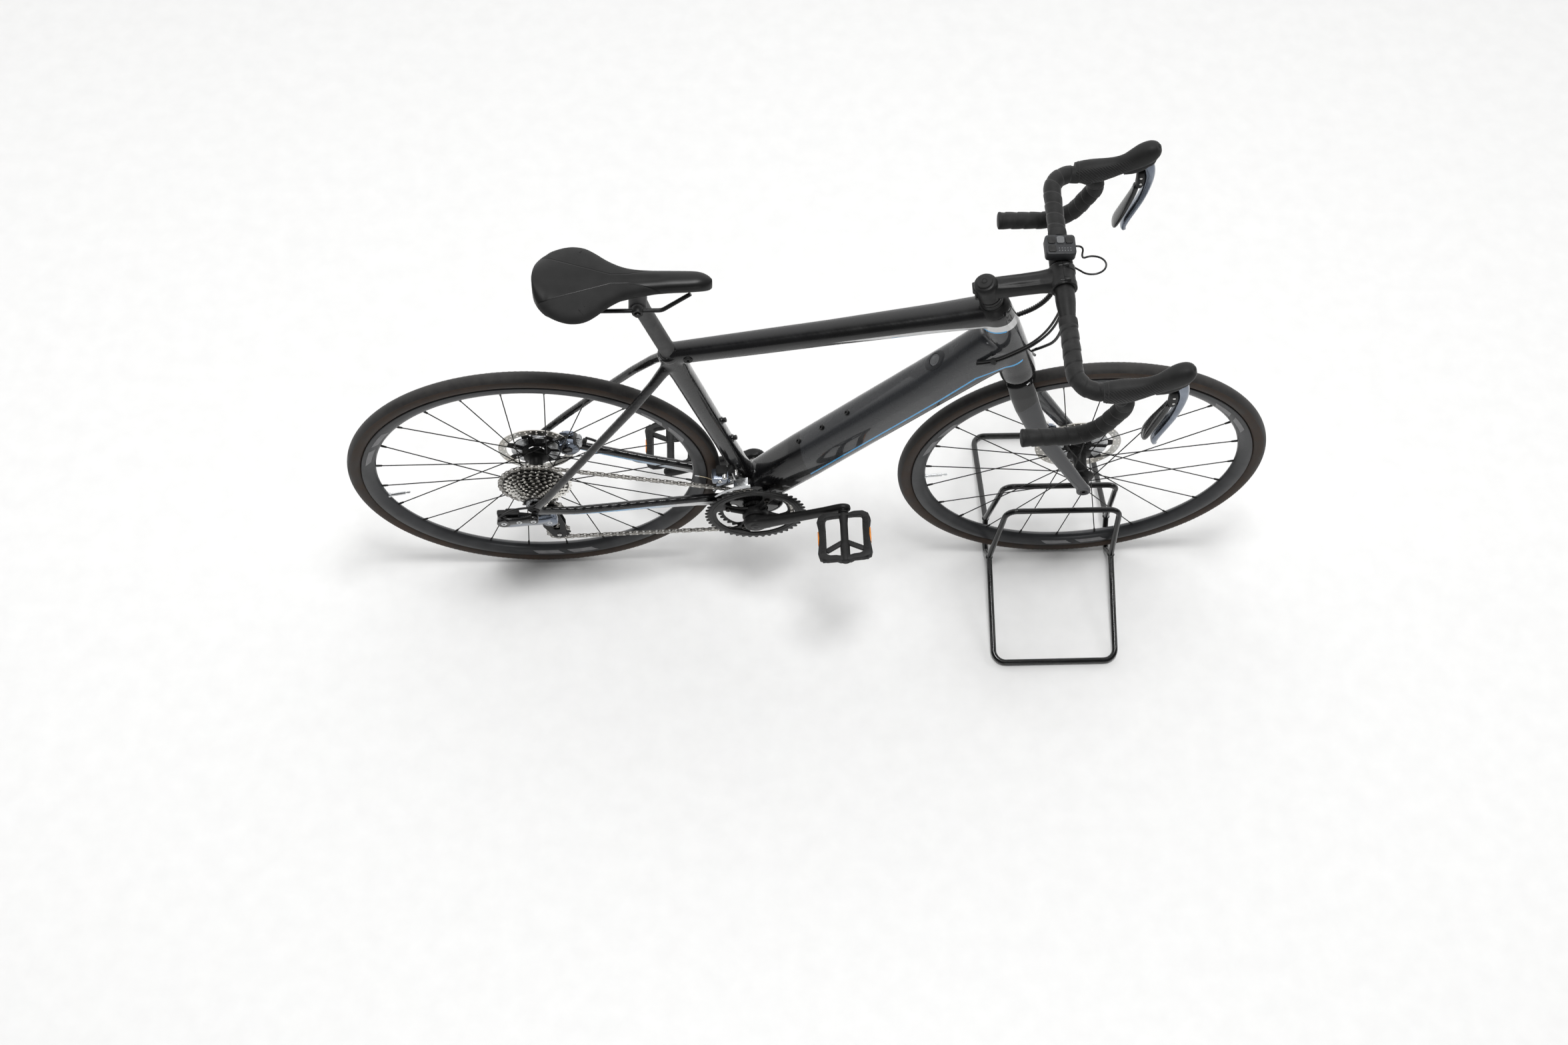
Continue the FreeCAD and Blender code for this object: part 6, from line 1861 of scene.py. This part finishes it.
def make_front_mech():
    """Curved cage plates following the outer ring, a body on the seat tube and its links."""
    plates = Form()
    for low, high, start, end, inner, outer in ((-36.8, -35.4, 78, 121, 98.0, 112),
                                                (-50.6, -49.2, 76, 119, 97.6, 110)):
        ring, top = [], []
        for i in range(15):
            degrees = start + (end - start) * i / 14
            taper = 1 - 0.72 * (i / 14) ** 1.4
            ring.append(about(BRACKET, inner, degrees + 20))
            top.append(about(BRACKET, inner + (outer - inner) * taper, degrees + 20))
        plates.prism(ring + top[::-1], low, high)
    plates.prism([about(BRACKET, 108.5, d) for d in (98, 101, 104, 108, 112)] +
                 [about(BRACKET, 110.5, d) for d in (112, 108, 104, 101, 98)], -50.4, -35.6)
    make("front_mech_cage", plates, SILVER, "frame", bevel=0.5, sharp=35)
    body = Form()
    rounded_box(body, spot(322, -46, 368), spot(352, -24, 388), 4)
    body.bar(spot(330, -44, 366), spot(356, -38, 366), 4, 5)
    make("front_mech_body", body, BLUE_GREY, "frame", cad=("front_derailleur",), bevel=1.6,
         sharp=40)
    dark = Form()
    rounded_box(dark, spot(330, -40, 384), spot(350, -23, 398), 3.5)
    dark.bar(spot(348, -28, 380), spot(362, -20, 384), 6, 7)
    make("front_mech_link", dark, MATTE_BLACK, "frame", bevel=1.4, sharp=40)
    bolts = Form()
    for place in (spot(337, 0, 378), spot(345, 0, 391)):
        bolts.lathe(place, [(1.9, -45), (2.1, -47.4), (4.0, -47.4), (4.4, -46.8), (4.4, -38)], 22,
                    caps=FIRST_END)
    bolts.lathe(spot(366, 0, 372), [(1.6, -31), (1.8, -32.6), (4.2, -32.6), (4.6, -32), (4.6, -20)], 22,
                caps=FIRST_END)
    make("front_mech_bolts", bolts, STEEL, "frame", sharp=35)
    tail = Form().tube(smooth_line([spot(338, -46, 378), spot(326, -42, 376), spot(312, -34, 372),
                                    spot(300, -28, 366)], 5), 0.6, 8)
    make("front_mech_tail", tail, BRASS, "frame")
    cap = Form().tube([spot(300, -28, 366), spot(292, -24, 361)], 1.3, 10)
    make("front_mech_tail_cap", cap, SILVER, "frame")


make_pulleys()
make_rear_mech()
make_front_mech()


# ---- pedals ----

PEDAL_TILT = 9.5


def make_pedal(side):
    """Resin platform: curved rim, central barrel with spread legs, studs and reflectors."""
    name = SIDE_NAMES[side]
    turn = math.radians(CRANK_TURN)
    eye = BRACKET + Vector((math.cos(turn), 0, math.sin(turn))) * 0.1725 * -side
    tilt = math.radians(PEDAL_TILT)
    ahead = Vector((math.cos(tilt), 0, math.sin(tilt)))
    up = Vector((-math.sin(tilt), 0, math.cos(tilt)))

    def at(forward, out, rise=0.0):
        return eye + (ahead * forward + Y_AXIS * side * out + up * rise) * MM

    def ring(points, rise):
        return [at(x, y, rise) for x, y in points]

    outside = [(-36, 91), (-20, 90.5), (-12, 92.5), (12, 92.5), (20, 90.5), (36, 91), (46, 97),
               (49.5, 108), (47, 122), (46, 140), (47.5, 156), (49.5, 172), (47, 182), (34, 186),
               (16, 186), (10, 189), (-10, 189), (-16, 186), (-34, 186), (-47, 182), (-49.5, 172),
               (-47.5, 156), (-46, 140), (-47, 122), (-49.5, 108), (-46, 97)]
    inside = [(-31, 99), (-20, 98), (-12, 98), (12, 98), (20, 98), (31, 99), (34, 102), (34.5, 110),
              (34, 122), (34, 140), (34, 156), (34, 168), (32.5, 174), (27, 176.5), (16, 177),
              (10, 178.5), (-10, 178.5), (-16, 177), (-27, 176.5), (-32.5, 174), (-34, 168),
              (-34, 156), (-34, 140), (-34, 122), (-34.5, 110), (-34, 102)]
    body = Form()
    body.rows([ring(outside, -7.2), ring(outside, 7.2), ring(inside, 7.2), ring(inside, -7.2)], loop=True)
    body.rows([circle_in(at, y, r) for y, r in
               ((91, 7.5), (94, 8.6), (98, 8.6), (112, 7.2), (150, 7.2), (158, 8.8), (180, 8.8),
                (189, 8.8), (190, 7.6))], caps=BOTH_ENDS)
    for x in BOTH_SIDES:
        body.bar(at(0, 148), at(x * 34.5, 166), 3.2, 4.6, side=up)
        body.bar(at(x * 22, 92), at(x * 22, 99), 3.0, 5.0, side=up)
    make("platform_" + name, body, PEDAL, "pedal_" + name, cad=("pedal_" + name,),
         bevel=1.2, sharp=40)
    studs = Form()
    for x in BOTH_SIDES:
        for i in range(5):
            for j in range(25):
                row_shift = 1.35 if j % 2 else 0
                forward = x * (36.4 + 2.3 * i + row_shift * 0.5)
                out = 106 + 2.7 * j
                if abs(forward) > 45.4:
                    continue
                for face in BOTH_SIDES:
                    base = [at(forward + a * 0.9, out + b * 1.1, face * 7.1) for a, b in
                            ((-1, -1), (1, -1), (1, 1), (-1, 1))]
                    top = [at(forward + a * 0.35, out + b * 0.45, face * 8.0) for a, b in
                           ((-1, -1), (1, -1), (1, 1), (-1, 1))]
                    studs.rows([base, top], caps=("end",))
    make("pedal_studs_" + name, studs, PEDAL, "pedal_" + name, sharp=30)
    axle = Form()
    axle.rows([circle_in(at, y, r) for y, r in ((74.5, 6.6), (80, 6.8), (87.6, 6.9), (88, 9.2), (90.6, 9.2),
                                                (91.4, 7.0))], caps=BOTH_ENDS)
    make("pedal_axle_" + name, axle, BLACK_STEEL, "pedal_" + name, sharp=35)
    recess = Form()
    recess.rows([circle_in(at, y, r) for y, r in ((190.2, 7.4), (190.4, 5.4), (188.6, 5.0))],
                caps=("end",))
    for x in BOTH_SIDES:
        for k in range(2):
            low = x * (15 + 15 * k)
            corners = [at(low, 186.15, -4.6), at(low + x * 12, 186.15, -4.6), at(low + x * 12, 186.15, 4.6),
                       at(low, 186.15, 4.6)]
            recess.rows([corners, [p - Y_AXIS * side * 0.001 for p in corners]], caps=BOTH_ENDS)
    make("pedal_end_" + name, recess, MATTE_BLACK, "pedal_" + name, sharp=35)
    lens = Form()
    for x in BOTH_SIDES:
        lens.bar(at(x * 46.2, 126), at(x * 46.2, 154), 2.4, 4.4, side=ahead)
    make("pedal_reflectors_" + name, lens, REFLECTOR, "pedal_" + name, bevel=0.4, sharp=35)


def circle_in(at, out, radius, count=28):
    """A ring square to a pedal's axle."""
    return [at(radius * math.cos(t), out, radius * math.sin(t)) for t in turns(count)]


for side in BOTH_SIDES:
    make_pedal(side)


# ---- brake calipers ----

def make_caliper(name, centre, radius, side, degrees, body):
    """Two-piston flat-mount caliper: finned bridge, pads, hose fitting and bolts."""
    middle = about(centre, radius - 8, degrees, side)
    out = (about(centre, radius, degrees) - about(centre, 0, degrees)).normalized()
    along = out.cross(Y_AXIS)

    def at(rise, shift, offset):
        return middle + (out * rise + along * shift) * MM + Y_AXIS * offset * MM

    shell = Form()
    for sign in BOTH_SIDES:
        low, high = sorted((sign * 2.6, sign * 14.5))
        outline = [at(r, s, 0) for r, s in ((-15, -10), (-15, 10), (-8, 19), (6, 21), (17, 15),
                                            (21, 6), (21, -6), (17, -15), (6, -21), (-8, -19))]
        shell.prism(outline, low, high)
    make(name + "_halves", shell, BLUE_GREY, body, cad=(name,), bevel=1.8, sharp=40)
    bridge = Form()
    outline = [at(r, s, 0) for r, s in ((12, -15), (12, 15), (20, 13), (22.4, 4), (22.4, -4), (20, -13))]
    bridge.prism(outline, -13, 13)
    for sign in BOTH_SIDES:
        low, high = sorted((sign * 14.2, sign * 17))
        bridge.lathe(Vector((middle.x, side * MM, middle.z)), [(4, low), (9.6, low), (10.4, (low + high) / 2),
                                                              (9.6, high), (4, high)], 32,
                     caps=BOTH_ENDS)
    make(name + "_bridge", bridge, GLOSS_BLACK, body, bevel=1.2, sharp=40)
    pads = Form()
    for sign in BOTH_SIDES:
        for k in range(6):
            low, high = sorted((sign * (1.5 + 1.7 * k), sign * (2.4 + 1.7 * k)))
            fin = [at(r, s, 0) for r, s in ((16, -9 + k * 0.4), (16, 9 - k * 0.4), (27, 7 - k * 0.4),
                                            (27, -7 + k * 0.4))]
            pads.prism(fin, low, high)
        low, high = sorted((sign * 1.2, sign * 2.6))
        pads.prism([at(r, s, 0) for r, s in ((-14, -9), (-14, 9), (10, 10), (10, -10))], low, high)
    make(name + "_pads", pads, SILVER, body, bevel=0.2, sharp=35)
    bolts = Form()
    for shift in (-15.5, 15.5):
        place = at(0, shift, 0)
        bolts.lathe(place, [(2.1, 13), (2.3, 15.6), (4.2, 15.6), (4.7, 15), (4.7, 12)], 22, caps=FIRST_END)
    bolts.lathe(at(13, -14, 0), [(2.2, 5), (2.4, 17), (5, 17), (5.6, 16.4), (5.6, 5)], 22, caps=FIRST_END)
    make(name + "_bolts", bolts, STEEL, body, sharp=35)


make_caliper("front_caliper", FRONT_AXLE, 80, 40, 150, "front_end")
make_caliper("rear_caliper", REAR_AXLE, 70, 50, 20, "frame")


# ---- axles, bolts, button and small fittings on the frame ----

def make_axle_ends():
    """Through axles with a flanged head on the right."""
    for end, centre, half, body in (("front", FRONT_AXLE, 61, "front_end"), ("rear", REAR_AXLE, 80, "frame")):
        form = Form().lathe(centre, [(3, -half + 2.4), (3.4, -half), (8.2, -half), (9.2, -half + 0.8),
                                     (9.2, -half + 2), (5.9, -half + 2.4), (5.9, half - 2),
                                     (7.6, half - 2), (7.6, half - 0.6), (6.6, half), (2.6, half),
                                     (2.4, half - 3)], 40, caps=BOTH_ENDS)
        make(end + "_through_axle", form, BLACK_STEEL, body, cad=(end + "_axle",), sharp=35)


DOWN_LOW = spot(415, 0, 297)
DOWN_RUN = (spot(804, 0, 760) - DOWN_LOW).normalized()
DOWN_ACROSS = Vector((-DOWN_RUN.z, 0, DOWN_RUN.x))


def make_bosses():
    """Bottle bosses on the down tube and the seat tube, each a washer and a bolt."""
    low, run, across = DOWN_LOW, DOWN_RUN, DOWN_ACROSS
    bolts, washers = Form(), Form()
    for ahead, up in ((557, 540), (515, 490), (475, 443)):
        along = (spot(ahead, 0, up) - low).dot(run)
        place = low + run * along + across * 0.0412
        washers.lathe(place, [(3.2, 1.6), (6.2, 1.4), (7.2, -0.4), (7.2, -2.4)], 28, axis=across,
                      caps=FIRST_END)
        bolts.lathe(place, [(2.0, 1.2), (2.2, 4.0), (4.0, 4.0), (4.5, 3.2), (4.5, 1.2)], 24,
                    axis=across, caps=FIRST_END)
    for up in (512, 450):
        along = (up - BRACKET.z / MM) / SEAT.z
        place = BRACKET + SEAT * along * MM + STEER_FRONT * 0.0176
        washers.lathe(place, [(3.2, 1.8), (6.2, 1.6), (7.2, -0.4), (7.2, -2.4)], 28, axis=STEER_FRONT,
                      caps=FIRST_END)
        bolts.lathe(place, [(2.0, 1.4), (2.2, 7.2), (4.0, 7.2), (4.5, 6.4), (4.5, 1.4)], 24,
                    axis=STEER_FRONT, caps=FIRST_END)
    make("boss_bolts", bolts, BLACK_STEEL, "frame", cad=("frame_bolts",), sharp=35)
    make("boss_washers", washers, GLOSS_BLACK, "frame", sharp=35)


def make_button():
    """Oval surround on the down tube's top face, and the power button in it."""
    run, across = DOWN_RUN, DOWN_ACROSS
    centre = DOWN_LOW + run * 0.496 + across * 0.0449
    plate = Form()
    rows = []
    for size, rise in ((1.0, -3.0), (1.0, -0.2), (0.955, 0.7), (0.5, 1.5), (0.46, 1.3), (0.46, -2.5)):
        long = 24 * size if size > 0.6 else 11.6
        wide = 15.5 * size if size > 0.6 else 11.6
        rows.append([centre + (run * long * math.cos(t) + Y_AXIS * wide * math.sin(t) +
                               across * (rise - 0.0012 * (wide * math.sin(t)) ** 2)) * MM
                     for t in turns(56)])
    plate.rows(rows, caps=FIRST_END)
    make("button_surround", plate, GREY_PLASTIC, "frame", sharp=45)
    cap = Form().lathe(centre, [(0.3, 1.5), (7.6, 1.5), (8.2, 1.1), (8.8, 1.5), (10.4, 1.4), (10.9, 0.8),
                                (10.9, -3.6)], 48, axis=across, caps=BOTH_ENDS)
    make("button_cap", cap, LIGHT_GREY, "power_button", cad=("power_button",), sharp=35)


def make_small_covers():
    """Cable grommets, speed sensor, stay cover, battery cover and seat collar."""
    grommets = Form()
    for place, heading in ((spot(790, -37, 757), (1, -0.3, 0.6)), (spot(790, 38, 757), (1, 0.3, 0.6)),
                           (spot(88, 62, 345), (-1, 0.2, 0.4))):
        direction = Vector(heading).normalized()
        grommets.lathe(place, [(3.2, 4), (5.6, 3), (6.4, 0), (5.4, -4)], 24, axis=direction,
                       caps=BOTH_ENDS)
    make("cable_grommets", grommets, RUBBER, "frame", sharp=50)
    sensor = Form()
    place, end = spot(176, 55.5, 292), spot(228, 47, 287)
    loft(sensor, [(place, 6, 6.5), (place.lerp(end, 0.2), 7, 7.5), (place.lerp(end, 0.6), 6.4, 6.2),
                  (place.lerp(end, 0.9), 4.6, 4.4), (end, 3, 3)], None, 2.8, 28, steps=4)
    make("speed_sensor", sensor, PLASTIC, "frame", sharp=45)
    cover = Form().lathe(spot(262, 38, 272), [(0.4, 10.4), (4, 10.4), (6, 9.8), (15, 8.8), (16.5, 7),
                                             (16.5, 3)], 36, caps=BOTH_ENDS)
    make("stay_cover", cover, PLASTIC, "frame", sharp=40)
    screw = Form().lathe(spot(262, 38, 272), [(1.6, 10.2), (1.8, 11), (3.6, 11), (4, 10.4)], 20,
                         caps=FIRST_END)
    make("stay_cover_screw", screw, STEEL, "frame", sharp=35)
    guard = Form()
    run, across = DOWN_RUN, DOWN_ACROSS
    under = DOWN_LOW + run * 0.16 - across * 0.040
    rounded = [under + (run * a + Y_AXIS * b) * MM for a, b in
               ((0, -16), (6, -20), (120, -20), (128, -15), (128, 15), (120, 20), (6, 20), (0, 16))]
    guard.rows([[p - across * 0.0045 for p in rounded], [p + across * 0.004 for p in rounded]],
               caps=BOTH_ENDS)
    make("battery_cover", guard, PLASTIC, "frame", bevel=2.0, sharp=40)
    collar = Form().lathe(BRACKET + SEAT * 0.5065, [(15, -9), (20.5, -8), (21, -6), (20, -0.6), (18.2, 0.6),
                                                   (15, 0.6)], 48, axis=SEAT, loop=True)
    make("seat_collar", collar, GLOSS_BLACK, "frame", sharp=45)


def make_stand_welds():
    """Weld beads where the arches meet the floor loops."""
    beads = Form()
    for ahead in (869, 1112):
        for side in BOTH_SIDES:
            place = spot(ahead, side * 43, 42)
            rows = []
            for i in range(9):
                phi = math.pi * i / 8
                size = 7.2 + 0.5 * math.sin(5 * i)
                rows.append([place + Vector((math.sin(phi) * math.cos(t) * size,
                                             math.sin(phi) * math.sin(t) * (size - 0.6),
                                             math.cos(phi) * (size - 1.0))) * MM for t in turns(20)])
            beads.rows(rows)
    make("stand_welds", beads, STAND_PAINT, "stand", smooth=1, sharp=70)


make_axle_ends()
make_bosses()
make_button()
make_small_covers()
make_stand_welds()

# ---- the CAD nodes that stay in view ----

KEPT = {STAND_PAINT: ("stand_near_loop", "stand_far_loop", "stand_near_arch", "stand_far_arch",
                      "stand_cradle_bars"),
        BLACK_STEEL: ("front_spokes", "rear_spokes", "saddle_rails"),
        PLASTIC: ("battery_pack",)}
for material, names in KEPT.items():
    for name in names:
        mesh = NODES[name].data
        mesh.materials.clear()
        mesh.materials.append(material)
